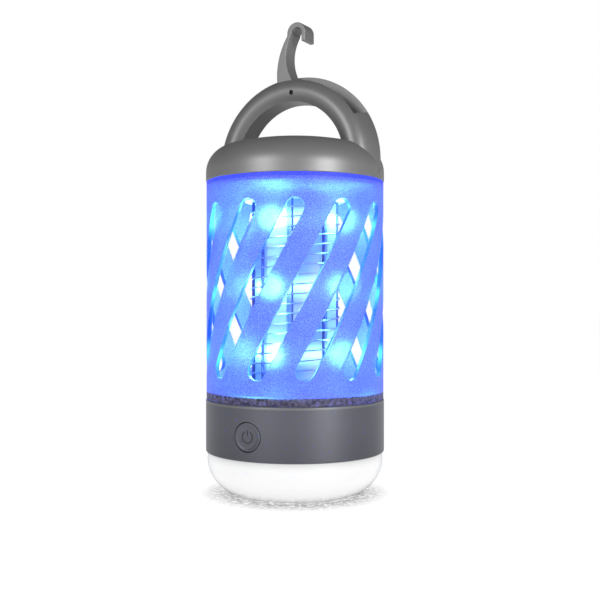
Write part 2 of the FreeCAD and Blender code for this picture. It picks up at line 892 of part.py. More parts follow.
def handle_body(grow):
    """The whole arch with its two ears, or, grown, the room that it takes."""
    section = handle_section(grow)
    arch = section.revolve(Vector(0, 0, handle_centre), Vector(0, -1, 0), 180)
    drop = Vector(0, 0, ear_centre - handle_centre - handle_half_width - grow)
    right = section.extrude(drop)
    left = right.mirror(Vector(0, 0, 0), Vector(1, 0, 0))
    whole = join([arch, right, left])
    below = block(-reach, reach, -reach, reach, -reach, ear_centre)
    return join([whole.cut(below), whole.common(below).common(ear_slab(grow))])


def pin_place():
    turn = math.radians(hook_pin_angle)
    return Vector(hook_pin_circle * math.sin(turn), 0, handle_centre + hook_pin_circle * math.cos(turn))


def slot_end_angle():
    """Where a folded hook's far end comes to, from the vertical through the arch's centre."""
    far = hook_length + hook_swing_gap
    rim = handle_outer_radius - hook_bow
    span = (hook_pin_circle ** 2 + rim ** 2 - far ** 2) / (2 * hook_pin_circle * rim)
    return hook_pin_angle + math.degrees(math.acos(span))


def hook_slot():
    left = pin_place().x - hook_root_side - hook_bow - moving_gap
    turn = math.radians(slot_end_angle())
    centre = Vector(0, -handle_slot_half, handle_centre)
    far = reach * math.tan(turn)
    corners = [Vector(left, 0, 0), Vector(left, 0, reach), Vector(far, 0, reach), Vector(0, 0, 0)]
    points = [centre + corner for corner in corners]
    wedge = prism(points, 2 * handle_slot_half, Vector(0, 1, 0))
    floor = handle_inner_radius + slot_floor_wall
    return wedge.cut(rod_y(floor, -reach, reach, 0, handle_centre))


def handle():
    whole = handle_body(0).common(rod(body_radius, 0, reach))
    pin = pin_place()
    near = handle_inner_radius - handle_screw_length
    far = handle_inner_radius + handle_screw_length
    screw_way = [rod_x(handle_screw_radius, near, far, 0, ear_centre)]
    screw_way.append(rod_x(handle_screw_radius, -far, -near, 0, ear_centre))
    pin_bore = rod_y(hook_pin_radius, -reach, reach, pin.x, pin.z)
    return cut_all(whole, [hook_slot(), pin_bore] + screw_way)


def handle_screws():
    seat = handle_inner_radius - fit_gap - cap_wall
    made = []
    for side in (-1, 1):
        place = Vector(side * seat, 0, ear_centre)
        outward = Vector(side, 0, 0)
        head = (handle_screw_head, handle_screw_head_height)
        made.append(screw(place, outward, handle_screw_length, handle_screw_radius, *head))
    return group(made)


def hook_pin():
    pin = pin_place()
    half = handle_half_width - hook_pin_inset
    return rod_y(hook_pin_radius, -half, half, pin.x, pin.z)


def hook_outline():
    """The hook's side view about its pin, with the curl opening to the right."""
    top = hook_length
    curl = Vector(0.95, 0, top - hook_curl_wall - hook_curl_radius)
    outer = hook_curl_radius + hook_curl_wall
    root = Vector(-hook_root_side, 0, 2.2)
    shoulder = Vector(curl.x - outer * 0.96, 0, curl.z - outer * 0.12)
    belly = Vector(-hook_root_side - hook_bow, 0, root.z + (shoulder.z - root.z) * 0.42)
    tip_outer = Vector(curl.x + hook_curl_radius + hook_tip_wall, 0, curl.z)
    tip_inner = Vector(curl.x + hook_curl_radius, 0, curl.z)
    drop = Vector(0, 0, -hook_tip_drop)
    inner_start = Vector(curl.x - hook_curl_radius, 0, curl.z)
    throat = Vector(hook_root_width - hook_root_side, 0, hook_root_rise)
    waist = Vector(-hook_root_side + 4.4, 0, root.z + (shoulder.z - root.z) * 0.6)
    lobe_right = Vector(hook_lobe, 0, 0)
    lobe_low = Vector(0, 0, -hook_lobe)
    lobe_left = Vector(-hook_lobe * math.sqrt(0.5), 0, -hook_lobe * math.sqrt(0.5))
    turn = math.radians(22.5)
    lobe_side = Vector(-hook_lobe * math.sin(turn), 0, -hook_lobe * math.cos(turn))
    return [
        line(lobe_left, root),
        arc(root, belly, shoulder),
        arc(shoulder, Vector(curl.x - 0.2, 0, top), tip_outer),
        line(tip_outer, tip_outer + drop),
        line(tip_outer + drop, tip_inner + drop),
        line(tip_inner + drop, tip_inner),
        arc(tip_inner, Vector(curl.x, 0, curl.z + hook_curl_radius), inner_start),
        arc(inner_start, waist, throat),
        line(throat, lobe_right),
        arc(lobe_right, Vector(hook_lobe * math.sqrt(0.5), 0, -hook_lobe * math.sqrt(0.5)), lobe_low),
        arc(lobe_low, lobe_side, lobe_left),
    ]


def hook():
    face = Part.Face(Part.Wire(hook_outline()))
    body = face.extrude(Vector(0, hook_width, 0))
    pin = pin_place()
    body.translate(Vector(pin.x, -hook_width / 2, pin.z))
    return body.cut(rod_y(hook_pin_radius + pin_gap, -reach, reach, pin.x, pin.z))


# ---- everything, by node name -----------------------------------------------------------------
def all_parts():
    parts = {
        "diffuser": diffuser(),
        "lantern_board": lantern_board(),
        "lantern_leds": lantern_leds(),
        "lantern_screws": lantern_screws(),
        "base_housing": base_housing(),
        "main_board": main_board(),
        "board_screws": board_screws(),
        "hv_transformer": transformer(),
        "hv_capacitor": capacitor(),
        "control_chips": control_chips(),
        "tact_switch": tact_switch(),
        "power_button": power_button(),
        "charge_board": charge_board(),
        "charge_socket": charge_socket(),
        "port_cover": port_cover(),
        "battery_cell": battery_cell(),
        "battery_contacts": battery_contacts(),
        "battery_cradle": battery_cradle(),
        "deck": deck(),
        "deck_screws": deck_screws(),
        "grid_lower_holder": grid_lower_holder(),
        "grid_upper_holder": grid_upper_holder(),
        "grid_wire_live": grid_wire(wire_angles()[0]),
        "grid_wire_return": grid_wire(wire_angles()[1]),
        "hv_lead_live": lead_in_base(0),
        "hv_lead_return": lead_in_base(1),
        "light_column": light_column(),
        "uv_leds": uv_leds(),
        "cage": cage(),
        "top_cap": top_cap(),
        "ceiling_plate": ceiling_plate(),
        "ceiling_screws": ceiling_screws(),
        "handle": handle(),
        "handle_screws": handle_screws(),
        "hook": hook(),
        "hook_pin": hook_pin(),
    }
    for number, angle in enumerate(post_turns(), 1):
        parts["grid_post_" + str(number)] = grid_post(angle)
    for side in range(led_side_count):
        parts["uv_led_board_" + str(side + 1)] = led_board(side)
    return parts


os.makedirs("parts", exist_ok=True)
for name, shape in all_parts().items():
    shape.exportStep("parts/" + name + ".step")
    print(name, shape.isValid(), len(shape.Solids), round(shape.Volume, 1))
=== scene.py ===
import json
import math
from contextlib import contextmanager

import bpy
from bpy.props import FloatProperty, FloatVectorProperty, IntProperty, PointerProperty
from mathutils import Matrix, Vector


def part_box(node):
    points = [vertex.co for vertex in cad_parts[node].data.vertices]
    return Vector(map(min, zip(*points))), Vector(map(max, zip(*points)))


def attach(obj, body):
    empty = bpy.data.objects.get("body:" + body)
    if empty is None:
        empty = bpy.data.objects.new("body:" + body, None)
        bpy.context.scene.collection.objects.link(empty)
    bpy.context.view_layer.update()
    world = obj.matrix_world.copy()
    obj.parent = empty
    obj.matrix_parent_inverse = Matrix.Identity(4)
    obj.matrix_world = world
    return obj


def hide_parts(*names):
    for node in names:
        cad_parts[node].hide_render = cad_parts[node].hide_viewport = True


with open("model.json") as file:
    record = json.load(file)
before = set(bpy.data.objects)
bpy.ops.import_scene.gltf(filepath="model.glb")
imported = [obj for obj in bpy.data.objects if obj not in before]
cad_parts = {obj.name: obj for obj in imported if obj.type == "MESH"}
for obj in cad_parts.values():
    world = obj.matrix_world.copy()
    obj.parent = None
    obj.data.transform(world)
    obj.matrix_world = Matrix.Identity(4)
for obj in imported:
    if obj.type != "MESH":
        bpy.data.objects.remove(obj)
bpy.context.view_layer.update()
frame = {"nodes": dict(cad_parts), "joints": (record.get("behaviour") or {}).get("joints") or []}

bl_info = {
    "name": "Lantern bug zapper",
    "version": (1, 0, 0),
    "blender": (4, 5, 0),
    "location": "View3D > Sidebar > Zapper",
    "description": "Builds the visible pieces and finishes of a rechargeable bug zapper around its frame",
    "category": "Object",
}

MM = 0.001
BODIES = {"base": "base", "cage": "cage_unit", "hook": "hook", "button": "button", "flap": "port_flap"}
JOINTS = {joint["name"]: joint for joint in frame["joints"]}

# Places that come from the frame, in metres.
CAGE_LOW, CAGE_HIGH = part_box("cage")
CAP_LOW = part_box("top_cap")[0]
BASE_LOW, BASE_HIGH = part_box("base_housing")
DIFFUSER_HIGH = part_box("diffuser")[1]
DECK_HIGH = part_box("deck")[1]
HOOK_LOW, HOOK_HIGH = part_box("hook")
BUTTON_LOW, BUTTON_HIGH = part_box("power_button")
LEDS_LOW, LEDS_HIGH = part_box("uv_leds")
FLAP_LOW, FLAP_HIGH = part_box("port_cover")
HOOK_PIN = Vector(JOINTS["hook_fold"]["pos_m"])
BODY_RADIUS = BASE_HIGH.y
BUTTON_HEIGHT = (BUTTON_LOW.z + BUTTON_HIGH.z) / 2
SLIDE_GAP = 0.35 * MM

# The twelve diodes stand in four upright rows of three.
DIODE_SIDES = 4
DIODE_TURN = 4.0
DIODE_MIDDLE = (LEDS_LOW.z + LEDS_HIGH.z) / 2
DIODE_PITCH = 32.5 * MM

BLACK = (0.0, 0.0, 0.0)
WHITE = (1.0, 1.0, 1.0)
LED_CYAN = (0.25, 0.9, 1.0)


# ---- settings a user would change -----------------------------------------------------------
def length_setting(name, description, default):
    return FloatProperty(name=name, description=description, default=default, unit="LENGTH", precision=5)


def colour_setting(name, description, default):
    return FloatVectorProperty(name=name, description=description, default=default, subtype="COLOR")


def strength_setting(name, description, default):
    return FloatProperty(name=name, description=description, default=default)


class ZapperSizes(bpy.types.PropertyGroup):
    """Modelling detail and small sizes that only the looks need."""

    segments: IntProperty(
        name="Segments", description="Faces round a turned piece", default=192, min=48, max=512)
    edge_round: length_setting("Edge round", "Rounding of the slots' edges", 0.35 * MM)
    cage_wall: length_setting("Cage wall", "Thickness of the slotted cage", 2.2 * MM)
    slot_width: length_setting("Slot width", "Width of a cage slot across its run", 8.6 * MM)
    slot_count: IntProperty(name="Slots", description="Slots round the cage", default=12, min=3)
    slot_turn: FloatProperty(
        name="Slot turn", description="How far a slot winds round the cage", default=math.radians(54.0),
        unit="ROTATION")
    slot_margin: length_setting("Slot margin", "From a slot's end to the cage's edge", 11.45 * MM)
    seam: length_setting("Seam", "Gap between pieces fixed to each other", 0.2 * MM)
    wire: length_setting("Wire", "Thickness of the grid's wires", 0.7 * MM)


class ZapperFinishes(bpy.types.PropertyGroup):
    """Colours and strengths of the finishes."""

    paint: colour_setting("Paint", "Satin grey of the cap and handle", (0.14, 0.14, 0.142))
    # Darker than the cap's paint; the blue tint in it is a painted reflection of the cage's blue light.
    base: colour_setting("Base paint", "Darker grey of the base and its button", (0.063, 0.065, 0.08))
    hook: colour_setting("Hook", "Grey of the hook", (0.125, 0.125, 0.127))
    cage: colour_setting("Cage tint", "Tint of the frosted cage", (0.10, 0.105, 0.98))
    # Painted glow: the cage is no lamp; this colour and strength set a glow that stands in for the diodes'
    # light scattered in its wall.
    cage_glow: colour_setting("Cage glow", "Light that the cage spreads by itself", (0.06, 0.085, 0.95))
    cage_glow_strength: strength_setting("Cage glow strength", "Strength of that light", 0.33)
    led: colour_setting("LED light", "Colour of the insect light", (0.35, 0.9, 1.0))
    led_spill: colour_setting("LED spill", "Colour of the light that fills the cage", (0.10, 0.36, 1.0))
    halo: colour_setting("LED halo", "Colour of the light seen through the cage", (0.2, 0.8, 1.0))
    led_strength: strength_setting("LED strength", "Strength of the LED lenses", 40.0)
    lantern: colour_setting("Lantern light", "Colour of the lit diffuser", WHITE)
    lantern_strength: strength_setting("Lantern strength", "Strength of the lit diffuser", 0.74)


def sizes():
    return bpy.context.scene.zapper_sizes


def finishes():
    return bpy.context.scene.zapper_finishes


# ---- modelling helpers ----------------------------------------------------------------------
def deselect():
    bpy.ops.object.select_all(action="DESELECT")


def activate(piece):
    deselect()
    piece.select_set(True)
    bpy.context.view_layer.objects.active = piece


@contextmanager
def editing(piece, whole=True):
    """Edit mode on one piece, with all of it selected unless whole is false."""
    activate(piece)
    bpy.ops.object.mode_set(mode="EDIT")
    if whole:
        bpy.ops.mesh.select_all(action="SELECT")
    yield
    bpy.ops.object.mode_set(mode="OBJECT")


def started(name):
    """Names the primitive that was just added and puts its place into its mesh."""
    piece = bpy.context.object
    piece.name = name
    piece.data.name = name
    bpy.ops.object.transform_apply(location=True, rotation=True, scale=True)
    return piece


def clean(piece, distance=0.002 * MM):
    """Merges a piece's points that meet, and turns its faces outward."""
    with editing(piece):
        bpy.ops.mesh.remove_doubles(threshold=distance)
        bpy.ops.mesh.normals_make_consistent(inside=False)
    return piece


def turned(name, outline, segments=None):
    """A turned piece: a ring at the outline's first point, extruded from ring to ring."""
    pole = 0.001 * MM
    rings = [(max(radius, pole), height) for radius, height in outline]
    deselect()
    bpy.ops.mesh.primitive_circle_add(
        vertices=segments or sizes().segments, radius=rings[0][0], fill_type="NOTHING",
        location=(0, 0, rings[0][1]))
    piece = started(name)
    with editing(piece):
        for (radius, height), (wider, higher) in zip(rings, rings[1:]):
            bpy.ops.mesh.extrude_edges_move(TRANSFORM_OT_translate={"value": (0, 0, higher - height)})
            scale = wider / radius
            bpy.ops.transform.resize(value=(scale, scale, 1), center_override=(0, 0, higher))
    return clean(piece)


def laid_out(name, points, fill="NOTHING"):
    """A circle whose vertices are drawn out to the given points."""
    deselect()
    bpy.ops.mesh.primitive_circle_add(vertices=len(points), radius=MM, fill_type=fill)
    piece = started(name)
    for vertex, point in zip(piece.data.vertices, points):
        vertex.co = point
    return piece


def extruded(name, points, along):
    """A solid whose side is a flat face with the given outline."""
    piece = laid_out(name, points, "NGON")
    with editing(piece):
        bpy.ops.mesh.extrude_region_move(TRANSFORM_OT_translate={"value": along})
    return clean(piece)


def rod(name, radius, start, end, vertices=96):
    """A round rod from start to end."""
    run = Vector(end) - Vector(start)
    deselect()
    bpy.ops.mesh.primitive_cylinder_add(
        vertices=vertices, radius=radius, depth=run.length, location=(Vector(start) + Vector(end)) / 2,
        rotation=run.to_track_quat("Z", "Y").to_euler())
    return started(name)


def slab(name, low, high):
    """A box between two corners."""
    low, high = Vector(low), Vector(high)
    deselect()
    bpy.ops.mesh.primitive_cube_add(size=1, location=(low + high) / 2, scale=high - low)
    return started(name)


def modified(piece, kind, **settings):
    """Adds a modifier with the given settings to a piece, and applies it."""
    activate(piece)
    step = piece.modifiers.new(kind.lower(), kind)
    for key, value in settings.items():
        setattr(step, key, value)
    bpy.ops.object.modifier_apply(modifier=step.name)
    return piece


def carve(piece, tool, operation="DIFFERENCE"):
    """Cuts, joins or trims piece with tool, and removes the tool."""
    modified(piece, "BOOLEAN", operation=operation, solver="EXACT", object=tool)
    bpy.data.objects.remove(tool)
    return clean(piece, 0.003 * MM)


def soften(piece, width, segments, angle):
    """Rounds the edges that turn by more than the angle."""
    return modified(
        piece, "BEVEL", width=width, segments=segments, limit_method="ANGLE",
        angle_limit=math.radians(angle), miter_outer="MITER_ARC")


def smooth(piece, angle=32.0):
    """Smooth shading, with edges sharper than the angle kept."""
    activate(piece)
    bpy.ops.object.shade_smooth_by_angle(angle=math.radians(angle))
    return modified(piece, "WEIGHTED_NORMAL", keep_sharp=True)


def joined(piece, others):
    """Puts the others' meshes into the piece."""
    activate(piece)
    for other in others:
        other.select_set(True)
    bpy.ops.object.join()
    return piece


def arc_points(centre, radius, start, end, count):
    """Points (across, up) on an arc, angles in degrees."""
    turn = [math.radians(start + (end - start) * step / count) for step in range(count + 1)]
    return [(centre[0] + radius * math.cos(a), centre[1] + radius * math.sin(a)) for a in turn]


def arc_through(start, middle, end, count):
    """Points on the arc through three points in a plane."""
    (ax, ay), (bx, by), (cx, cy) = start, middle, end
    scale = 2 * (ax * (by - cy) + bx * (cy - ay) + cx * (ay - by))
    a2, b2, c2 = ax * ax + ay * ay, bx * bx + by * by, cx * cx + cy * cy
    x = (a2 * (by - cy) + b2 * (cy - ay) + c2 * (ay - by)) / scale
    y = (a2 * (cx - bx) + b2 * (ax - cx) + c2 * (bx - ax)) / scale
    radius = math.hypot(ax - x, ay - y)
    first = math.atan2(ay - y, ax - x)
    full = 2 * math.pi
    to_middle = (math.atan2(by - y, bx - x) - first) % full
    sweep = (math.atan2(cy - y, cx - x) - first) % full
    if to_middle > sweep:
        sweep -= full
    turns = [first + sweep * step / count for step in range(count + 1)]
    return [(x + radius * math.cos(a), y + radius * math.sin(a)) for a in turns]


def finish_piece(piece, body, slot, material, *nodes):
    """Gives a finished piece its material and its body, and hides the nodes that it stands for; the slot is
    not used.
    """
    piece.data.materials.clear()
    piece.data.materials.append(material)
    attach(piece, BODIES[body])
    if nodes:
        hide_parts(*nodes)
    return piece


def finish_node(node, material):
    """Gives a part of the frame its material and leaves its mesh as it is."""
    mesh = frame["nodes"][node].data
    mesh.materials.clear()
    mesh.materials.append(material)


# ---- shader helpers -------------------------------------------------------------------------
class Signal:
    """A socket's value, with arithmetic that adds Math nodes."""

    def __init__(self, maker, socket):
        self.maker = maker
        self.socket = socket

    def math(self, operation, other=None, clamp=False):
        """A Math node on this value, and on a second one if the operation takes it."""
        values = [self] if other is None else [self, other]
        return self.maker.node("ShaderNodeMath", {"operation": operation, "use_clamp": clamp}, values)

    def __add__(self, other):
        return self.math("ADD", other)

    def __radd__(self, other):
        return self.math("ADD", other)

    def __sub__(self, other):
        return self.math("SUBTRACT", other)

    def __rsub__(self, other):
        return self.maker.node("ShaderNodeMath", {"operation": "SUBTRACT"}, [other, self])

    def __mul__(self, other):
        return self.math("MULTIPLY", other)

    def __rmul__(self, other):
        return self.math("MULTIPLY", other)

    def __truediv__(self, other):
        return self.math("DIVIDE", other)

    def power(self, other):
        return self.math("POWER", other)

    def clamped(self):
        return self.math("ADD", 0.0, clamp=True)


class Nodes:
    """The node tree of a material or a world, filled one node at a time."""

    def __init__(self, owner):
        owner.use_nodes = True
        self.tree = owner.node_tree

    def connect(self, value, socket):
        if isinstance(value, Signal):
            self.tree.links.new(value.socket, socket)
        else:
            socket.default_value = value

    def node(self, kind, settings=None, inputs=(), output=0):
        """Adds a node: first its settings, such as a ramp's stops, then its sockets."""
        made = self.tree.nodes.new(kind)
        for key, value in (settings or {}).items():
            if key == "stops":
                self.fill_ramp(made.color_ramp, value)
            else:
                setattr(made, key, value)
        pairs = inputs.items() if isinstance(inputs, dict) else enumerate(inputs)
        for key, value in pairs:
            self.connect(value, made.inputs[key])
        return Signal(self, made.outputs[output])

    def fill_ramp(self, ramp, stops):
        while len(ramp.elements) < len(stops):
            ramp.elements.new(1.0)
        for element, (position, level) in zip(ramp.elements, stops):
            element.position = position
            element.color = (level, level, level, 1.0)

    def place(self):
        return self.node("ShaderNodeTexCoord", output="Object")

    def noise(self, scale, detail=2.0, roughness=0.5, place=None):
        inputs = {"Vector": place or self.place(), "Scale": scale, "Detail": detail, "Roughness": roughness}
        return self.node("ShaderNodeTexNoise", {}, inputs)

    def ramp(self, value, stops):
        return self.node("ShaderNodeValToRGB", {"stops": stops}, {"Fac": value}, "Color")

    def mix(self, factor, first, second):
        """A colour between two others, each a signal or plain numbers."""
        inputs = {0: factor, 6: opaque(first), 7: opaque(second)}
        return self.node("ShaderNodeMix", {"data_type": "RGBA"}, inputs, 2)

    def separate(self, vector):
        first = self.node("ShaderNodeSeparateXYZ", {}, [vector])
        return [Signal(self, socket) for socket in first.socket.node.outputs]


class Finish(Nodes):
    """A material, with its main shader's sockets set by name."""

    def __init__(self, name):
        self.material = bpy.data.materials.new(name)
        super().__init__(self.material)
        self.shader = self.tree.nodes["Principled BSDF"]

    def set(self, **values):
        for name, value in values.items():
            self.connect(value, self.shader.inputs[name.replace("_", " ")])
        return self

    def bump(self, height, strength, distance):
        inputs = {"Height": height, "Strength": strength, "Distance": distance}
        return self.set(Normal=self.node("ShaderNodeBump", {}, inputs))


def shade(colour, factor):
    return tuple(min(channel * factor, 1.0) for channel in colour)


def opaque(colour):
    """A colour with its alpha; a signal stays as it is."""
    return colour if isinstance(colour, Signal) else (*colour, 1.0)


# ---- finishes -------------------------------------------------------------------------------
# How fast a finish changes at a height, per metre.
EDGE_RISE = 4000.0
SOFT_RISE = 2500.0


def satin_paint(name, colour):
    """Satin grey paint over moulded plastic: a fine even grain and faint flow marks."""
    finish = Finish(name)
    grain = finish.noise(5200.0, 3.0, 0.6)
    flow = finish.noise(38.0, 2.0, 0.5)
    tone = finish.mix(flow, shade(colour, 0.95), shade(colour, 1.05))
    speck = finish.ramp(grain, [(0.35, 0.0), (0.7, 1.0)])
    finish.set(Base_Color=finish.mix(speck * 0.12, tone, shade(colour, 1.5)))
    finish.set(Metallic=0.35, Roughness=0.36 + grain * 0.12)
    return finish.bump(grain, 0.06, 0.02 * MM).material


def base_paint(name):
    """The base's bluer grey: a painted highlight in a line at its upper edge, painted shade towards the
    bottom, and sparse blue specks.
    """
    colour = tuple(finishes().base)
    painted_highlight_height, painted_highlight_level = 1.6 * MM, 0.14
    fade_height = 16.0 * MM
    finish = Finish(name)
    place = finish.place()
    height = finish.separate(place)[2]
    grain = finish.noise(5200.0, 3.0, 0.6, place)
    specks = finish.ramp(finish.noise(1300.0, 1.0, 0.5, place), [(0.76, 0.0), (0.79, 1.0)])
    # Painted highlight: a lighter line along the upper edge, where it catches the light.
    line = ((height - BASE_HIGH.z + painted_highlight_height) * EDGE_RISE).clamped()
    # Painted shade: darker towards the bottom.
    low = (1 - (height - BASE_LOW.z) / fade_height).clamped()
    tone = finish.mix(grain, shade(colour, 0.92), shade(colour, 1.08))
    tone = finish.mix(line * 0.6, tone, (painted_highlight_level, painted_highlight_level, painted_highlight_level))
    tone = finish.mix(low * 0.35, tone, shade(colour, 0.35))
    finish.set(Base_Color=finish.mix(specks, tone, (0.08, 0.09, 0.75)))
    finish.set(Metallic=0.35, Roughness=0.38 + grain * 0.12)
    return finish.bump(grain, 0.06, 0.02 * MM).material


def frosted_cage():
    """Sand-blasted translucent plastic: fine sparkle with painted glints, a painted glow for the light from
    inside, a band of painted shade behind the cap's lip, and mottled painted shade where it laps the collar.
    """
    colours = finishes()
    collar_shade_over, lip_shade_over = 0.15 * MM, 0.9 * MM
    finish = Finish("frosted_cage")
    place = finish.place()
    height = finish.separate(place)[2]
    sparkle = finish.noise(2300.0, 2.0, 0.7, place)
    cloud = finish.noise(60.0, 2.0, 0.5, place)
    mottle = finish.noise(620.0, 2.0, 0.6, place)
    # Fine grain; where it lightens the colour and feeds the glow, it makes painted glints.
    grain_and_glints = finish.ramp(sparkle, [(0.46, 0.0), (0.74, 1.0)])
    # Painted shade: dark and mottled where the cage laps the dark collar, with its glow dimmed there.
    painted_collar_shade = ((DECK_HIGH.z + collar_shade_over - height) * EDGE_RISE).clamped()
    # Painted shade: a deeper blue band behind the cap's lip.
    painted_lip_shade = ((height - CAP_LOW.z - lip_shade_over) * SOFT_RISE).clamped()
    dots = finish.ramp(mottle, [(0.62, 0.0), (0.66, 1.0)])
    blots = finish.ramp(mottle, [(0.35, 0.0), (0.62, 1.0)])
    body = finish.mix(grain_and_glints * 0.85, tuple(colours.cage), (0.42, 0.64, 1.0))
    body = finish.mix(painted_lip_shade * 0.8, body, (0.03, 0.04, 0.95))
    dark = finish.mix(blots, (0.05, 0.045, 0.08), (0.27, 0.25, 0.4))
    # Painted glow: the cage is no lamp; this emission stands in for the diodes' light scattered in its wall.
    glow = finish.mix(grain_and_glints * 0.6 + cloud * 0.15, tuple(colours.cage_glow), (0.25, 0.42, 1.0))
    glow = finish.mix(painted_collar_shade, glow, finish.mix(dots, BLACK, (0.05, 0.08, 1.0)))
    finish.set(Base_Color=finish.mix(painted_collar_shade, body, dark), Roughness=0.46 + grain_and_glints * 0.24, IOR=1.22)
    finish.set(Transmission_Weight=0.72)
    finish.set(Emission_Color=glow, Emission_Strength=colours.cage_glow_strength)
    return finish.bump(sparkle, 0.25, 0.03 * MM).material


def by_diode_rows(height, sharpness):
    """How near a height is to one of the three levels of the diodes, from 0 to 1."""
    wave = ((height - DIODE_MIDDLE) * (2 * math.pi / DIODE_PITCH)).math("COSINE")
    return (wave * 0.5 + 0.5).power(sharpness)


def slot_wall():
    """The cage's cut edges: the cage's plastic in a deeper blue of painted shade, with painted LED light
    near the diodes' rows.
    """
    finish = Finish("cage_edge_painted_light")
    place = finish.place()
    height = finish.separate(place)[2]
    fine = finish.noise(1500.0, 2.0, 0.6, place)
    near = finish.noise(55.0, 1.0, 0.5, place)
    # Painted pools of LED light on the cut edges, strongest at the diodes' rows.
    bright = finish.ramp(near, [(0.42, 0.0), (0.62, 1.0)])
    lit = bright * by_diode_rows(height, 2.0)
    # A deeper blue than the cage's own tint: painted shade.
    finish.set(Base_Color=finish.mix(fine, (0.01, 0.04, 0.8), (0.03, 0.1, 1.0)), Roughness=0.24 + fine * 0.1)
    finish.set(IOR=1.3, Transmission_Weight=0.5)
    finish.set(Emission_Color=finish.mix(lit, (0.005, 0.03, 0.7), (0.1, 0.8, 1.0)), Emission_Strength=1.3)
    return finish.material


def diode_panel():
    """A white board, painted a dim blue for the blue light and shade inside the cage, with painted LED light
    brightest beside its diodes.
    """
    finish = Finish("diode_panel")
    place = finish.place()
    height = finish.separate(place)[2]
    fleck = finish.noise(900.0, 2.0, 0.5, place)
    # Painted LED light: the board is no lamp; its glow is strongest at the diodes' rows.
    glow = finish.mix(by_diode_rows(height, 7.0), (0.02, 0.07, 0.12), (0.3, 0.88, 1.0))
    # A dim blue for a white face: painted blue light and shade.
    finish.set(Base_Color=finish.mix(fleck, (0.2, 0.26, 0.42), (0.27, 0.33, 0.5)))
    finish.set(Roughness=0.35 + fleck * 0.1, Emission_Color=glow, Emission_Strength=2.1)
    return finish.material


def beside_diodes(finish, near, far):
    """How much of the diodes' light lands at a place on a flat plate: all at near, none at far."""
    x, y, _ = finish.separate(finish.place())
    away = (x * x + y * y).power(0.5)
    turn = y.math("ARCTAN2", x) - math.radians(DIODE_TURN)
    lobes = ((turn * DIODE_SIDES).math("COSINE") * 0.5 + 0.5).power(2.5)
    return lobes * ((far - away) / (far - near)).clamped()


def lit_plate(name, first, second, reach, dim, strength):
    """White plastic near the ends of the diodes' rows, painted a light blue for the blue light inside, with
    a dim painted glow and painted light where they shine on it.
    """
    near, far = reach
    finish = Finish(name)
    lit = beside_diodes(finish, near, far)
    cloud = finish.noise(90.0, 2.0, 0.5)
    finish.set(Base_Color=finish.mix(cloud, first, second), Roughness=0.42 + cloud * 0.1)
    # Painted light: the plate is no lamp; a dim glow, and the diodes' light where they shine on it.
    finish.set(Emission_Color=finish.mix(lit, dim, LED_CYAN), Emission_Strength=strength)
    return finish.material


def lit_holder():
    near, far, dim = 18.0 * MM, 27.0 * MM, (0.01, 0.02, 0.07)
    return lit_plate("insulator_white", (0.42, 0.46, 0.75), (0.5, 0.54, 0.82), (near, far), dim, 6.0)


def lit_ceiling():
    near, far, dim = 24.0 * MM, 42.0 * MM, (0.01, 0.015, 0.06)
    return lit_plate("ceiling_lit", (0.45, 0.5, 0.85), (0.52, 0.57, 0.9), (near, far), dim, 14.0)


def glowing(name, colour, strength):
    """A lens that gives light of its own."""
    finish = Finish(name)
    fleck = finish.noise(700.0, 2.0, 0.5)
    finish.set(Base_Color=finish.mix(fleck, shade(colour, 0.9), colour), Roughness=0.25 + fleck * 0.1)
    finish.set(Emission_Color=opaque(colour), Emission_Strength=strength)
    return finish.material


def lit_diffuser():
    """Opal plastic lit from inside: greyer with painted shade under the base, greyer in specks at its foot,
    shiny at its rim.
    """
    colours = finishes()
    shadow, foot_height = 5.0 * MM, 4.5 * MM
    finish = Finish("lit_diffuser")
    cloud = finish.noise(45.0, 2.0, 0.5)
    height = finish.separate(finish.place())[2]
    # Painted shade: the light dims towards the base above it.
    top = ((height - BASE_LOW.z + shadow) / shadow).clamped()
    foot = (1 - height / foot_height).clamped()
    grains = finish.ramp(finish.noise(600.0, 3.0, 0.7), [(0.40, 0.0), (0.66, 1.0)])
    # Painted shade under the base, and grey specks at the foot, both dim the light.
    painted_shade_and_foot_specks = (top.power(2.0) * 0.8 + foot * grains * 1.1).clamped()
    finish.set(Base_Color=finish.mix(cloud, (0.11, 0.11, 0.111), (0.13, 0.13, 0.131)))
    finish.set(Roughness=0.3 + cloud * 0.08, Coat_Weight=1.0, Coat_Roughness=0.04)
    light = finish.mix(painted_shade_and_foot_specks, tuple(colours.lantern), shade(colours.lantern, 0.45))
    finish.set(Emission_Color=light, Emission_Strength=colours.lantern_strength)
    gloss = finish.node("ShaderNodeBsdfGlossy", {}, {"Color": (0.42, 0.42, 0.43, 1.0), "Roughness": 0.12})
    rim = finish.node("ShaderNodeLayerWeight", {}, {"Blend": 0.22}, "Fresnel")
    body = Signal(finish, finish.shader.outputs[0])
    both = finish.node("ShaderNodeMixShader", {}, [rim, body, gloss])
    finish.connect(both, finish.tree.nodes["Material Output"].inputs["Surface"])
    return finish.material


def moulded(name, colour, roughness=0.5):
    """Plain plastic with a fine moulded grain."""
    finish = Finish(name)
    grain = finish.noise(1800.0, 2.0, 0.6)
    finish.set(Base_Color=finish.mix(grain, shade(colour, 0.85), shade(colour, 1.15)))
    finish.set(Roughness=roughness + grain * 0.1)
    return finish.bump(grain, 0.1, 0.02 * MM).material


def drawn_metal(name, colour, roughness=0.25):
    """Bare metal, a little uneven in colour and gloss."""
    finish = Finish(name)
    streak = finish.noise(1400.0, 3.0, 0.6)
    finish.set(Base_Color=finish.mix(streak, shade(colour, 0.8), shade(colour, 1.1)), Metallic=1.0)
    finish.set(Roughness=roughness + streak * 0.15)
    return finish.material


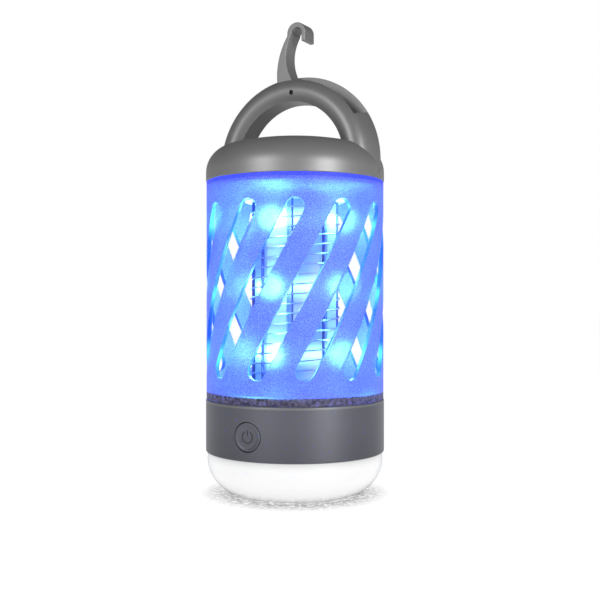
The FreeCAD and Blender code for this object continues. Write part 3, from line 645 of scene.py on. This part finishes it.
def circuit_board():
    """Green board with tracks a little raised."""
    finish = Finish("circuit_board")
    inputs = {"Vector": finish.place(), "Scale": 420.0}
    tracks = finish.node("ShaderNodeTexVoronoi", {"distance": "CHEBYCHEV"}, inputs, "Distance")
    line = finish.ramp(tracks, [(0.2, 0.0), (0.26, 1.0)])
    finish.set(Base_Color=finish.mix(line, (0.02, 0.16, 0.06), (0.01, 0.09, 0.035)))
    finish.set(Roughness=0.35 + line * 0.1)
    return finish.bump(line, 0.2, 0.03 * MM).material


def speckled_deck():
    """Dark plastic with violet flecks, with painted LED light on the collar's upper edge beside the diodes.
    """
    finish = Finish("deck_dark")
    fleck = finish.noise(1100.0, 2.0, 0.6)
    spots = finish.ramp(fleck, [(0.5, 0.0), (0.72, 1.0)])
    height = finish.separate(finish.place())[2]
    edge_height, edge_rise, near, far = 0.6 * MM, 3000.0, 44.0 * MM, 60.0 * MM
    edge = ((height - DECK_HIGH.z + edge_height) * edge_rise).clamped()
    lit = beside_diodes(finish, near, far) * edge
    finish.set(Base_Color=finish.mix(spots, (0.035, 0.03, 0.06), (0.12, 0.12, 0.4)))
    finish.set(Roughness=0.5 + fleck * 0.1)
    # Painted light: the collar is no lamp; this emission stands in for the diodes' light on its edge.
    finish.set(Emission_Color=finish.mix(lit, BLACK, (0.2, 0.85, 1.0)), Emission_Strength=9.0)
    return finish.bump(fleck, 0.2, 0.03 * MM).material


def floor_finish():
    """A white sweep with a painted shadow: a grey, grainy ring round the lantern's foot, and faint painted
    shade near it.
    """
    ring_radius = 32.0 * MM
    finish = Finish("floor")
    place = finish.place()
    x, y, _ = finish.separate(place)
    away = (x * x + y * y).power(0.5)
    # Painted shadow: a grey, grainy ring where the lantern stands.
    ring = (1 - ((away - ring_radius) * 62.0).math("ABSOLUTE")).clamped()
    fleck = finish.noise(420.0, 3.0, 0.75, place)
    grains = finish.ramp(fleck, [(0.46, 1.0), (0.62, 0.0)])
    shadow = (ring * (grains * 0.75 + 0.22)).clamped()
    # Painted shade: the floor a little darker near the lantern.
    near = (1 - away * 9.0).clamped() * 0.05
    finish.set(Base_Color=finish.mix(fleck, (0.14, 0.14, 0.14), (0.16, 0.16, 0.16)))
    finish.set(Roughness=0.7 + fleck * 0.1)
    finish.set(Emission_Color=finish.mix(shadow + near, WHITE, (0.2, 0.2, 0.21)), Emission_Strength=0.95)
    return finish.material


# ---- shapes that several pieces share -------------------------------------------------------
HANDLE_CENTRE = CAGE_HIGH.z + 9.3 * MM
EAR_CENTRE = CAGE_HIGH.z + 10.6 * MM
ARCH_INNER = 30.1 * MM
ARCH_DEPTH = 13.8 * MM
ARCH_STEPS = 96
EAR_HALF = 8.3 * MM
SLOT_HALF = (HOOK_HIGH.y - HOOK_LOW.y) / 2 + SLIDE_GAP
WALL = 2.4 * MM
FAR = 60 * MM


def dome_outline(inset, low):
    """The cap's outer line from its lower edge to the axis, drawn in by inset."""
    outer = BODY_RADIUS - inset
    shoulder = 13.5 * MM - inset
    start = CAGE_HIGH.z + 4.5 * MM
    shoulder_end = 77
    crown_angle = math.radians(90 - shoulder_end)
    bend = arc_points((outer - shoulder, start), shoulder, 0, shoulder_end, 20)
    knee = bend[-1]
    crown = knee[0] / math.sin(crown_angle)
    top = arc_points((0, knee[1] - crown * math.cos(crown_angle)), crown, shoulder_end, 90, 14)
    return [(outer, low)] + bend + top[1:]


def smooth_line(knots, steps):
    """Points on a line that runs smoothly through the knots."""
    before_first = tuple(2 * a - b for a, b in zip(knots[0], knots[1]))
    after_last = tuple(2 * a - b for a, b in zip(knots[-1], knots[-2]))
    guide = [before_first] + knots + [after_last]
    points = []
    for quad in zip(guide, guide[1:], guide[2:], guide[3:]):
        for step in range(steps):
            points.append(tuple(between(*values, step / steps) for values in zip(*quad)))
    return points + [knots[-1]]


def between(a, b, c, d, t):
    """A value on the smooth curve from b to c, where a and d are its neighbours."""
    bend = 2 * a - 5 * b + 4 * c - d
    twist = 3 * b - a - 3 * c + d
    return 0.5 * (2 * b + (c - a) * t + bend * t * t + twist * t ** 3)


def handle_section(grow):
    """The arch's section, as depth and y: flat inside, and fuller on one side outside."""
    wide, flat = EAR_HALF + grow, 6.0 * MM + grow
    deep, drop = ARCH_DEPTH, 3.2 * MM
    knots = [
        (-grow, -flat), (0.27 * deep, -0.97 * wide), (0.54 * deep, -0.93 * wide),
        (deep - drop + 0.7 * grow, -0.62 * wide), (deep - 0.3 * drop + grow, 0), (deep + grow, 0.58 * wide),
        (deep - 0.35 * drop + 0.7 * grow, 0.93 * wide), (0.62 * deep, wide), (0.27 * deep, 0.93 * wide),
        (-grow, flat)]
    flat_steps = 8
    inside = [(-grow, flat - 2 * flat * step / flat_steps) for step in range(1, flat_steps)]
    return smooth_line(knots, 6) + inside


def handle_form(name, grow):
    """The whole arch with its two ears; grown, it is the room that they take in the cap."""
    foot = EAR_CENTRE - EAR_HALF - grow
    piece = laid_out(name, [(ARCH_INNER + depth, y, HANDLE_CENTRE) for depth, y in handle_section(grow)])
    with editing(piece):
        bpy.ops.mesh.spin(steps=ARCH_STEPS, angle=math.pi, center=(0, 0, HANDLE_CENTRE), axis=(0, 1, 0))
    for side in (1, -1):
        select_edges(piece, lambda co: side * co.x > 0 and abs(co.z - HANDLE_CENTRE) < 0.01 * MM)
        with editing(piece, whole=False):
            bpy.ops.mesh.extrude_edges_move(TRANSFORM_OT_translate={"value": (0, 0, foot - HANDLE_CENTRE)})
            bpy.ops.mesh.edge_face_add()
    clean(piece)
    return carve(piece, ear_corners(grow))


def ear_corners(grow):
    """What is cut off below the ears, so that each ends in a half round."""
    low = EAR_CENTRE - 2 * EAR_HALF
    round_foot = arc_points((0, EAR_CENTRE), EAR_HALF + grow + 0.02 * MM, 185, 355, 48)
    level = round_foot[0][1]
    outline = [(-FAR, level)] + round_foot + [(FAR, level), (FAR, low), (-FAR, low)]
    return extruded("ear_corners", [(-FAR, y, z) for y, z in outline], (2 * FAR, 0, 0))


def select_edges(piece, test):
    """Selects the edges whose ends both pass the test, with nothing else, in edge mode."""
    activate(piece)
    mesh = piece.data
    bpy.context.tool_settings.mesh_select_mode = (False, True, False)
    chosen = [bool(test(vertex.co)) for vertex in mesh.vertices]
    mesh.vertices.foreach_set("select", chosen)
    mesh.edges.foreach_set("select", [all(chosen[index] for index in edge.vertices) for edge in mesh.edges])
    mesh.polygons.foreach_set("select", [False] * len(mesh.polygons))


def lay_back(piece, front, height):
    """Turns a piece whose axis is upright to lie along y, with its start at the front."""
    for vertex in piece.data.vertices:
        x, y, z = vertex.co
        vertex.co = (x, front + z, height - y)
    return clean(piece)


def turn_piece(piece, degrees):
    """Turns a piece about the upright axis, in its mesh."""
    piece.data.transform(Matrix.Rotation(math.radians(degrees), 4, "Z"))


def paint(name, strength):
    return satin_paint(name, shade(finishes().paint, strength))


# ---- the pieces -----------------------------------------------------------------------------
class ZAPPER_OT_diffuser(bpy.types.Operator):
    """Builds the opal bowl of the lantern"""

    bl_idname = "zapper.diffuser"
    bl_label = "Diffuser"

    def execute(self, context):
        radius = DIFFUSER_HIGH.x
        wall, edge, chamfer = 2.0 * MM, 17.7 * MM, 0.3 * MM
        rim = BASE_LOW.z
        flat = radius - edge
        lip = BODY_RADIUS - 2.6 * MM
        lip_inner = lip - 1.6 * MM
        lip_foot = rim - 1.4 * MM
        outer = arc_points((flat, edge), edge, -90, 0, 32)
        inner = arc_points((flat, edge), edge - wall, 0, -90, 24)
        outline = [(0, 0)] + outer + [(radius, rim - chamfer), (radius - chamfer, rim), (lip, rim)]
        outline += [(lip, DIFFUSER_HIGH.z), (lip_inner, DIFFUSER_HIGH.z), (lip_inner, lip_foot)]
        outline += [(radius - wall, lip_foot)] + inner + [(0, wall)]
        piece = smooth(turned("lantern_bowl", outline))
        finish_piece(piece, "base", "diffuser_white", lit_diffuser(), "diffuser")
        return {"FINISHED"}


class ZAPPER_OT_base(bpy.types.Operator):
    """Builds the base's band with the button's bore and the charging port's pocket"""

    bl_idname = "zapper.base"
    bl_label = "Base"

    def execute(self, context):
        inner = BODY_RADIUS - WALL
        floor = BASE_LOW.z + 3.2 * MM
        piece = self.band(inner, floor)
        self.port(piece, floor)
        bore = 7.05 * MM
        ends = [(0, -FAR, BUTTON_HEIGHT), (0, 3 * MM - inner, BUTTON_HEIGHT)]
        carve(piece, rod("button_bore", bore, *ends, 128))
        soften(piece, 0.25 * MM, 2, 50)
        finish_piece(smooth(piece), "base", "satin_grey", base_paint("base_paint"), "base_housing")
        return {"FINISHED"}

    def band(self, inner, floor):
        """The wall with its rounded edges, and the floor inside it."""
        low, high = BASE_LOW.z, BASE_HIGH.z
        top_round, low_round, floor_thick = 0.9 * MM, 0.5 * MM, 1.6 * MM
        outline = [(0, floor), (inner, floor), (inner, high)]
        outline += arc_points((BODY_RADIUS - top_round, high - top_round), top_round, 90, 0, 5)
        outline += arc_points((BODY_RADIUS - low_round, low + low_round), low_round, 0, -90, 4)
        outline += [(inner, low), (inner, floor - floor_thick), (0, floor - floor_thick)]
        return turned("base_band", outline)

    def port(self, piece, floor):
        """The pad behind the flap, its pocket, the socket's mouth and the nick for a nail."""
        pocket_top = FLAP_HIGH.z + SLIDE_GAP
        pocket_back = FLAP_LOW.y - SLIDE_GAP
        pad_half, pocket_half, nick_half = 9.7 * MM, 6.85 * MM, 2.6 * MM
        opening, nick = 0.2 * MM, 1.3 * MM
        socket_low, socket_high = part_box("charge_socket")
        pad = slab("port_pad", (-pad_half, pocket_back - 1.4 * MM, floor - 0.2 * MM),
                   (pad_half, BODY_RADIUS - 1 * MM, pocket_top + 2.8 * MM))
        carve(piece, pad, "UNION")
        pocket = slab("port_pocket", (-pocket_half, pocket_back, FLAP_LOW.z - 0.1 * MM),
                      (pocket_half, FAR, pocket_top))
        carve(piece, pocket)
        mouth = slab("port_mouth", (socket_low.x - opening, pocket_back - 3 * MM, socket_low.z - opening),
                     (socket_high.x + opening, FAR, socket_high.z + opening))
        carve(piece, mouth)
        skin = BODY_RADIUS + 0.2 * MM
        ends = [(-nick_half, skin, pocket_top), (nick_half, skin, pocket_top)]
        carve(piece, rod("nail_nick", nick, *ends, 32))


class ZAPPER_OT_button(bpy.types.Operator):
    """Builds the power button with its engraved symbol"""

    bl_idname = "zapper.button"
    bl_label = "Power button"

    def execute(self, context):
        front = BUTTON_LOW.y
        radius, depth, edge = 6.75 * MM, 0.35 * MM, 0.5 * MM
        dish = radius - 1.1 * MM
        back = 4.9 * MM - BODY_RADIUS
        outline = [(0, depth), (dish - 0.5 * MM, depth)]
        outline += [(dish - 0.2 * MM, depth * 0.8), (dish, depth * 0.35), (dish + 0.25 * MM, 0)]
        outline += arc_points((radius - edge, edge), edge, -90, 0, 6)
        outline += [(radius, back - front), (0, back - front)]
        piece = turned("power_button", outline, 128)
        lay_back(piece, front, BUTTON_HEIGHT)
        floor = front + depth
        for cutter in self.symbol("symbol_cutter", front - 1 * MM, floor + 0.3 * MM):
            carve(piece, cutter)
        finish_piece(smooth(piece), "button", "satin_grey", base_paint("button_paint"), "power_button")
        # Painted shade: a dark inlay in the engraved symbol's recess stands in for the shade in it.
        mark, bar = self.symbol("power_mark", floor + 0.18 * MM, floor + 0.32 * MM)
        carve(mark, bar, "UNION")
        finish_piece(mark, "button", "dark_plastic", moulded("engraving_painted_shade", (0.012, 0.012, 0.014), 0.6))
        return {"FINISHED"}

    def symbol(self, name, start, end):
        """The open ring and the bar in its gap, as two solids from start to end along y."""
        outer, inner, half_gap = 3.0 * MM, 2.4 * MM, 31.0
        bar_half, bar_start, bar_end = 0.325 * MM, 0.7 * MM, 3.2 * MM
        sweep = (90 - half_gap, -270 + half_gap)
        outline = arc_points((0, BUTTON_HEIGHT), outer, *sweep, 64)
        outline += arc_points((0, BUTTON_HEIGHT), inner, *sweep[::-1], 64)
        ring = extruded(name, [(x, start, z) for x, z in outline], (0, end - start, 0))
        bar = slab(name + "_bar", (-bar_half, start, BUTTON_HEIGHT + bar_start),
                   (bar_half, end, BUTTON_HEIGHT + bar_end))
        return ring, bar


class ZAPPER_OT_cage(bpy.types.Operator):
    """Builds the frosted cage: one slotted strip, copied round and given its wall"""

    bl_idname = "zapper.cage"
    bl_label = "Cage"

    def execute(self, context):
        settings = sizes()
        wall = settings.cage_wall
        radius = CAGE_HIGH.x
        self.middle = radius - wall / 2
        half = settings.slot_width / 2
        low = CAGE_LOW.z + settings.slot_margin + half
        high = CAGE_HIGH.z - settings.slot_margin - half
        self.slant = self.middle * settings.slot_turn / (high - low)
        cell = 2 * math.pi * self.middle / settings.slot_count
        slot, edge = self.loops(half, low, high, cell)
        strip = self.strip(slot, edge)
        self.wrap_round(strip, radius, settings.slot_count)
        clean(modified(strip, "SOLIDIFY", thickness=wall, offset=-1, use_even_offset=False))
        soften(strip, settings.edge_round, 3, 50)
        finish_piece(smooth(strip), "cage", "frosted_cage", frosted_cage(), "cage")
        strip.data.materials.append(slot_wall())
        self.mark_walls(strip)
        return {"FINISHED"}

    def mark_walls(self, piece):
        """Gives the cut edges of the slots the second finish, with its painted shade and painted LED light.
        """
        for face in piece.data.polygons:
            out = Vector((face.center.x, face.center.y, 0)).normalized()
            if abs(face.normal.dot(out)) < 0.5 and abs(face.normal.z) < 0.9:
                face.material_index = 1

    def loops(self, half, low, high, cell):
        """The slot's outline and the strip's outline, point for point, on the unrolled wall."""
        run = math.atan(self.slant)
        end_steps, side_steps = 32, 38
        slot, edge = [], []
        for centre, other, border, sign in ((high, low, CAGE_HIGH.z, 1), (low, high, CAGE_LOW.z, -1)):
            for step in range(end_steps):
                turn = math.pi * step / end_steps
                side, along = sign * math.cos(turn), sign * math.sin(turn)
                across = half * (side * math.cos(run) + along * math.sin(run))
                climb = half * (along * math.cos(run) - side * math.sin(run))
                slot.append((self.slant * (centre - high) + across, centre + climb))
                edge.append(self.edge_point(step / end_steps, centre, border, high, cell, sign))
            for step in range(side_steps):
                height = centre + (other - centre) * step / side_steps
                middle = self.slant * (height - high)
                slot.append((middle - sign * half * math.cos(run), height + sign * half * math.sin(run)))
                edge.append((middle - sign * cell / 2, height))
        return slot, edge

    def edge_point(self, share, centre, border, high, cell, sign):
        """A point of the strip's outline beside a slot's round end: up one side, across, and down."""
        climb = 0.1875
        side = sign * cell / 2
        if climb <= share <= 1 - climb:
            across = 1 - 2 * (share - climb) / (1 - 2 * climb)
            return self.slant * (border - high) + side * across, border
        rising = share < climb
        height = centre + (border - centre) * (share if rising else 1 - share) / climb
        return self.slant * (height - high) + (side if rising else -side), height

    def strip(self, slot, edge):
        """One strip of wall round one slot, still flat."""
        piece = laid_out("cage", [(x, 0, z) for x, z in slot])
        bands = 6
        for band in range(1, bands + 1):
            with editing(piece, whole=False):
                bpy.ops.mesh.extrude_edges_move(TRANSFORM_OT_translate={"value": (0, 0, 0)})
            share = band / bands
            fresh = [vertex for vertex in piece.data.vertices if vertex.select]
            for vertex, (x, z), (far_x, far_z) in zip(fresh, slot, edge):
                vertex.co = (x + (far_x - x) * share, 0, z + (far_z - z) * share)
        return piece

    def wrap_round(self, piece, radius, count):
        """Rolls the strip round the axis and sets its copies beside it."""
        flat = [vertex.co.copy() for vertex in piece.data.vertices]
        strips = [piece]
        for number in range(1, count):
            strips.append(bpy.data.objects.new("cage_strip", piece.data.copy()))
            bpy.context.scene.collection.objects.link(strips[-1])
        for number, strip in enumerate(strips):
            start = 2 * math.pi * number / count
            for vertex, point in zip(strip.data.vertices, flat):
                turn = start + point.x / self.middle
                vertex.co = (radius * math.cos(turn), radius * math.sin(turn), point.z)
        clean(joined(piece, strips[1:]), 0.01 * MM)


class ZAPPER_OT_cap(bpy.types.Operator):
    """Builds the domed cap with the two pockets that take the handle's ears"""

    bl_idname = "zapper.cap"
    bl_label = "Cap"

    def execute(self, context):
        low = CAGE_HIGH.z
        lip = CAP_LOW.z
        lip_wall, edge = 2.2 * MM, 0.5 * MM
        lip_outer = CAGE_HIGH.x - sizes().cage_wall - SLIDE_GAP
        lip_inner = lip_outer - lip_wall
        outer = dome_outline(0, low)
        inner = dome_outline(WALL, low + WALL)
        rounded = arc_points((BODY_RADIUS - edge, low + edge), edge, -90, 0, 4)
        outline = inner[::-1]
        outline += [(lip_inner, low + WALL), (lip_inner, lip), (lip_outer, lip), (lip_outer, low)]
        outline += rounded + outer[1:]
        piece = turned("cap", outline)
        whole = turned("cap_whole", [(0, low)] + outer)
        pocket = handle_form("pocket_wall", WALL + 0.2 * MM)
        carve(pocket, whole, "INTERSECT")
        carve(piece, pocket, "UNION")
        carve(piece, handle_form("pocket", sizes().seam))
        soften(piece, 0.22 * MM, 2, 50)
        finish_piece(smooth(piece), "cage", "satin_grey", paint("cap_paint", 1.0), "top_cap")
        return {"FINISHED"}


def across_pin(name, radius):
    """A rod on the hook pin's axis, longer than the handle is wide."""
    return rod(name, radius, (HOOK_PIN.x, -FAR, HOOK_PIN.z), (HOOK_PIN.x, FAR, HOOK_PIN.z), 48)


class ZAPPER_OT_handle(bpy.types.Operator):
    """Builds the arched handle with the hook's slot in its crown"""

    bl_idname = "zapper.handle"
    bl_label = "Handle"

    def execute(self, context):
        piece = handle_form("handle", 0)
        body = rod("body_line", BODY_RADIUS, (0, 0, EAR_CENTRE - FAR), (0, 0, EAR_CENTRE + FAR), 384)
        carve(piece, body, "INTERSECT")
        carve(piece, self.slot())
        carve(piece, across_pin("pin_bore", 1.2 * MM))
        soften(piece, 0.45 * MM, 3, 50)
        # The handle has the cap's satin paint, made 0.88 as bright: painted shade.
        finish_piece(smooth(piece), "cage", "satin_grey", paint("handle_paint", 0.88), "handle")
        return {"FINISHED"}

    def slot(self):
        """The room in which the hook folds down between the crown's two walls."""
        left = HOOK_PIN.x - 10.35 * MM
        floor = ARCH_INNER + 1.4 * MM
        end = 90 - 58.9
        start = math.degrees(math.acos(left / floor))
        reach = 70 * MM
        right = reach * math.cos(math.radians(end))
        outline = arc_points((0, HANDLE_CENTRE), floor, start, end, 60)
        outline.append((right, HANDLE_CENTRE + reach * math.sin(math.radians(end))))
        outline += [(right, HANDLE_CENTRE + reach), (left, HANDLE_CENTRE + reach)]
        return extruded("hook_slot", [(x, -SLOT_HALF, z) for x, z in outline], (0, 2 * SLOT_HALF, 0))


class ZAPPER_OT_hook(bpy.types.Operator):
    """Builds the folding hook"""

    bl_idname = "zapper.hook"
    bl_label = "Hook"

    def execute(self, context):
        piece = extruded("hook", self.outline(), (0, HOOK_HIGH.y - HOOK_LOW.y, 0))
        carve(piece, across_pin("hook_bore", 1.25 * MM))
        soften(piece, 0.5 * MM, 3, 40)
        grey = satin_paint("hook_paint", tuple(finishes().hook))
        finish_piece(smooth(piece), "hook", "hook_grey", grey, "hook")
        return {"FINISHED"}

    def outline(self):
        """The hook's side, from its root round the curl and back to the lobe round the pin.

        All in millimetres, from the pin's axis.
        """
        top, wall, curl_radius, tip_wall, tip_drop = 35.0, 2.6, 2.8, 2.2, 4.2
        curl = (0.95, top - wall - curl_radius)
        outer = curl_radius + wall
        root = (-9.4, 2.2)
        shoulder = (curl[0] - outer * 0.96, curl[1] - outer * 0.12)
        rise = shoulder[1] - root[1]
        tip = (curl[0] + curl_radius + tip_wall, curl[1])
        inner_start = (curl[0] - curl_radius, curl[1])
        throat = (0.4, 4.7)
        lobe = 2.2
        points = arc_through(root, (-10.0, root[1] + rise * 0.42), shoulder, 24)[:-1]
        points += arc_through(shoulder, (curl[0] - 0.2, top), tip, 40)
        points += [(tip[0], tip[1] - tip_drop), (tip[0] - tip_wall, tip[1] - tip_drop)]
        points += arc_points(curl, curl_radius, 0, 180, 32)[:-1]
        points += arc_through(inner_start, (-5.0, root[1] + rise * 0.6), throat, 30)
        points += arc_points((0, 0), lobe, 0, -135, 20)
        return [(HOOK_PIN.x + x * MM, HOOK_LOW.y, HOOK_PIN.z + z * MM) for x, z in points]


class ZAPPER_OT_grid(bpy.types.Operator):
    """Winds the two bare wires of the grid and stands their slim posts"""

    bl_idname = "zapper.grid"
    bl_label = "Killing grid"

    radius = 22.0 * MM
    pitch = 9.2 * MM
    post_count = 8
    wire_turns = {"live": -131.0, "return": 49.0}

    def execute(self, context):
        steel = drawn_metal("grid_steel", (0.42, 0.45, 0.55), 0.3)
        post_dark = moulded("post_dark", (0.05, 0.06, 0.16), 0.45)
        margin = 2.6 * MM
        self.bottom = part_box("grid_lower_holder")[1].z
        self.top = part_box("grid_upper_holder")[0].z
        self.start, self.end = self.bottom + margin, self.top - margin
        for name, angle in self.wire_turns.items():
            self.wire("grid_wire_" + name, sizes().wire / 2, angle, steel)
        spread = 360 / self.post_count
        for number in range(self.post_count):
            self.post(number + 1, DIODE_TURN + spread * (number + 0.5), post_dark)
        return {"FINISHED"}

    def wire(self, name, wire, angle, finish):
        """A round section wound up the grid, with a straight foot down into the lower holder."""
        corners = 10
        deselect()
        bpy.ops.mesh.primitive_circle_add(
            vertices=corners, radius=wire, fill_type="NOTHING", location=(self.radius, 0, self.start),
            rotation=(math.pi / 2, 0, 0))
        piece = started(name + "_bare")
        self.wind(piece)
        self.close_start(piece, wire)
        foot_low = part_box("grid_lower_holder")[0].z + 0.5 * MM
        ends = [(self.radius, 0, foot_low), (self.radius, 0, self.start + wire * 0.3)]
        joined(piece, [rod(name + "_foot", wire, *ends, corners)])
        turn_piece(piece, angle)
        smooth(piece, 50)
        finish_piece(piece, "base", "grid_steel", finish, name)

    def wind(self, piece):
        """Winds the wire's section up to the grid's upper end."""
        rise = self.end - self.start
        angle = 2 * math.pi * rise / self.pitch
        steps = int(64 * rise / self.pitch)
        modified(piece, "SCREW", axis="Z", angle=angle, screw_offset=rise, steps=steps, render_steps=steps)
        clean(piece, 0.001 * MM)

    def close_start(self, piece, wire):
        """Gives the wire's lower end a face."""
        near = 0.05 * MM
        select_edges(piece, lambda co: abs(co.z - self.start) < 1.5 * wire and abs(co.y) < near and co.x > 0)
        with editing(piece, whole=False):
            bpy.ops.mesh.edge_face_add()

    def post(self, number, turn, finish):
        """A slim bar with a small knob where each wire crosses it."""
        inner, outer, half, overlap = 19.9 * MM, 21.4 * MM, 0.42 * MM, 2.4 * MM
        name = "post_" + str(number)
        bar = slab(name, (inner, -half, self.bottom - overlap), (outer, half, self.top + overlap))
        joined(bar, [self.knob(name, outer, height) for height in self.crossings(turn)])
        turn_piece(bar, turn)
        soften(bar, 0.12 * MM, 1, 50)
        finish_piece(smooth(bar), "base", "dark_plastic", finish, "grid_post_" + str(number))

    def knob(self, name, outer, height):
        """A knob on the post's outer side."""
        deep, proud, half, half_height = 0.3 * MM, 0.08 * MM, 0.8 * MM, 0.55 * MM
        return slab(name + "_knob", (outer - deep, -half, height - half_height),
                    (outer + proud, half, height + half_height))

    def crossings(self, turn):
        """The heights at which a wire passes the post, below the upper holder."""
        step = self.pitch / 2
        shift = (turn - self.wire_turns["live"]) / 360.0
        first = self.start + step * ((2 * shift) % 1.0)
        heights = [first + step * count for count in range(int((self.end - self.start) / step))]
        return [height for height in heights if height <= self.top - 3 * MM]


class ZAPPER_OT_inside(bpy.types.Operator):
    """Gives the parts of the frame that stay their finishes"""

    bl_idname = "zapper.inside"
    bl_label = "Inside parts"

    def execute(self, context):
        colours = finishes()
        panel = diode_panel()
        insulator = lit_holder()
        dark = moulded("dark_plastic", (0.06, 0.06, 0.075), 0.5)
        screw = drawn_metal("screw_steel", (0.6, 0.6, 0.62), 0.3)
        board = circuit_board()
        chips = moulded("chip_black", (0.02, 0.02, 0.022), 0.4)
        chosen = {
            "light_column": panel,
            "uv_leds": glowing("uv_led", tuple(colours.led), colours.led_strength),
            "grid_lower_holder": insulator,
            "grid_upper_holder": insulator,
            "ceiling_plate": lit_ceiling(),
            "deck": speckled_deck(),
            "deck_screws": screw,
            "board_screws": screw,
            "lantern_screws": screw,
            "ceiling_screws": screw,
            "handle_screws": screw,
            "hook_pin": drawn_metal("pin_steel", (0.02, 0.02, 0.022), 0.5),
            "main_board": board,
            "charge_board": board,
            "lantern_board": board,
            "lantern_leds": glowing("lantern_led", (1.0, 0.98, 0.95), 3.0),
            "control_chips": chips,
            "tact_switch": chips,
            "hv_transformer": moulded("ferrite", (0.09, 0.085, 0.08), 0.6),
            "hv_capacitor": moulded("capacitor_red", (0.35, 0.03, 0.02), 0.35),
            "battery_cell": moulded("cell_wrap", (0.03, 0.18, 0.42), 0.3),
            "battery_contacts": drawn_metal("nickel", (0.62, 0.6, 0.55), 0.3),
            "battery_cradle": dark,
            "charge_socket": drawn_metal("socket_steel", (0.5, 0.5, 0.52), 0.3),
            "hv_lead_live": moulded("lead_red", (0.5, 0.02, 0.02), 0.4),
            "hv_lead_return": moulded("lead_black", (0.02, 0.02, 0.02), 0.4),
            "port_cover": moulded("port_rubber", (0.11, 0.11, 0.115), 0.7),
        }
        for side in range(DIODE_SIDES):
            chosen["uv_led_board_" + str(side + 1)] = panel
        for node, material in chosen.items():
            finish_node(node, material)
        return {"FINISHED"}


# ---- the stage ------------------------------------------------------------------------------
class ZAPPER_OT_stage(bpy.types.Operator):
    """Sets the floor, the lights and the camera"""

    bl_idname = "zapper.stage"
    bl_label = "Stage"

    def execute(self, context):
        self.floor()
        self.world()
        self.camera()
        self.lights()
        self.diode_lights()
        return {"FINISHED"}

    def floor(self):
        deselect()
        bpy.ops.mesh.primitive_plane_add(size=12, location=(0, 0, -0.2 * MM))
        plane = started("floor")
        plane.data.materials.append(floor_finish())

    def world(self):
        scene = bpy.context.scene
        scene.world = bpy.data.worlds.new("studio")
        self.sky(Nodes(scene.world))
        scene.view_settings.view_transform = "Standard"
        scene.view_settings.look = "None"

    def sky(self, nodes):
        """White to the eye, but to the object a room that is bright near the horizon and dim overhead."""
        height = nodes.separate(nodes.node("ShaderNodeTexCoord", output="Generated"))[2]
        room = nodes.ramp(height, [(0.0, 0.6), (0.1, 0.5), (0.35, 0.2), (1.0, 0.07)])
        seen = nodes.node("ShaderNodeLightPath", output="Is Camera Ray")
        nodes.connect(nodes.mix(seen, room, WHITE), nodes.tree.nodes["Background"].inputs["Color"])

    def camera(self):
        distance, height, turn = 0.4708, 0.095, math.radians(30.0)
        data = bpy.data.cameras.new("camera")
        data.lens = 56.9
        data.sensor_width = 36.0
        data.shift_x = 1 / 120
        data.clip_start = 10 * MM
        place = (distance * math.sin(turn), -distance * math.cos(turn), height)
        camera = self.placed("camera", data, place)
        camera.rotation_euler = (math.radians(90), 0, turn)
        bpy.context.scene.camera = camera

    def placed(self, name, data, place):
        """A camera or a light at its place in the scene."""
        made = bpy.data.objects.new(name, data)
        bpy.context.scene.collection.objects.link(made)
        made.location = place
        return made

    def lights(self):
        self.area("key", (-0.15, -1.0, 0.4), 0.45, 7.0)
        self.area("fill", (1.0, -0.38, 0.3), 0.45, 11.0)

    def area(self, name, place, size, power):
        """A square light turned to the middle of the object."""
        middle = Vector((0, 0, 100 * MM))
        data = bpy.data.lights.new(name, "AREA")
        data.shape = "SQUARE"
        data.size = size
        data.energy = power
        light = self.placed(name, data, place)
        light.rotation_euler = (Vector(place) - middle).to_track_quat("Z", "Y").to_euler()

    def diode_lights(self):
        """Two small lights in front of each diode: one fills the cage, one shows through its wall."""
        colours = finishes()
        reach = 26 * MM
        for side in range(DIODE_SIDES):
            turn = math.radians(DIODE_TURN + 360 / DIODE_SIDES * side)
            for row in (-1, 0, 1):
                height = DIODE_MIDDLE + row * DIODE_PITCH
                place = (reach * math.cos(turn), reach * math.sin(turn), height)
                self.point("diode", place, 3 * MM, 0.075, tuple(colours.led_spill))
                halo = self.point("halo", place, 5.5 * MM, 0.6, tuple(colours.halo))
                halo.visible_diffuse = False
                halo.visible_glossy = False

    def point(self, name, place, radius, power, colour):
        """A round light that isn't seen by itself."""
        data = bpy.data.lights.new(name, "POINT")
        data.energy = power
        data.color = colour
        data.shadow_soft_size = radius
        light = self.placed(name, data, place)
        light.visible_camera = False
        return light


# ---- panel and registration -----------------------------------------------------------------
STEPS = (
    ZAPPER_OT_diffuser, ZAPPER_OT_base, ZAPPER_OT_button, ZAPPER_OT_cage, ZAPPER_OT_cap, ZAPPER_OT_handle,
    ZAPPER_OT_hook, ZAPPER_OT_grid, ZAPPER_OT_inside, ZAPPER_OT_stage)


class ZAPPER_PT_panel(bpy.types.Panel):
    """Lists the steps and their settings"""

    bl_idname = "ZAPPER_PT_panel"
    bl_label = "Bug zapper"
    bl_space_type = "VIEW_3D"
    bl_region_type = "UI"
    bl_category = "Zapper"

    def draw(self, context):
        column = self.layout.column(align=True)
        for step in STEPS:
            column.operator(step.bl_idname)
        for group in (sizes(), finishes()):
            box = self.layout.box()
            for key in group.__annotations__:
                box.prop(group, key)


CLASSES = (ZapperSizes, ZapperFinishes, *STEPS, ZAPPER_PT_panel)


def register():
    for cls in CLASSES:
        bpy.utils.register_class(cls)
    bpy.types.Scene.zapper_sizes = PointerProperty(type=ZapperSizes)
    bpy.types.Scene.zapper_finishes = PointerProperty(type=ZapperFinishes)


def unregister():
    del bpy.types.Scene.zapper_finishes
    del bpy.types.Scene.zapper_sizes
    for cls in reversed(CLASSES):
        bpy.utils.unregister_class(cls)


def main():
    register()
    for step in STEPS:
        group, name = step.bl_idname.split(".")
        getattr(getattr(bpy.ops, group), name)()


if __name__ == "__main__":
    main()
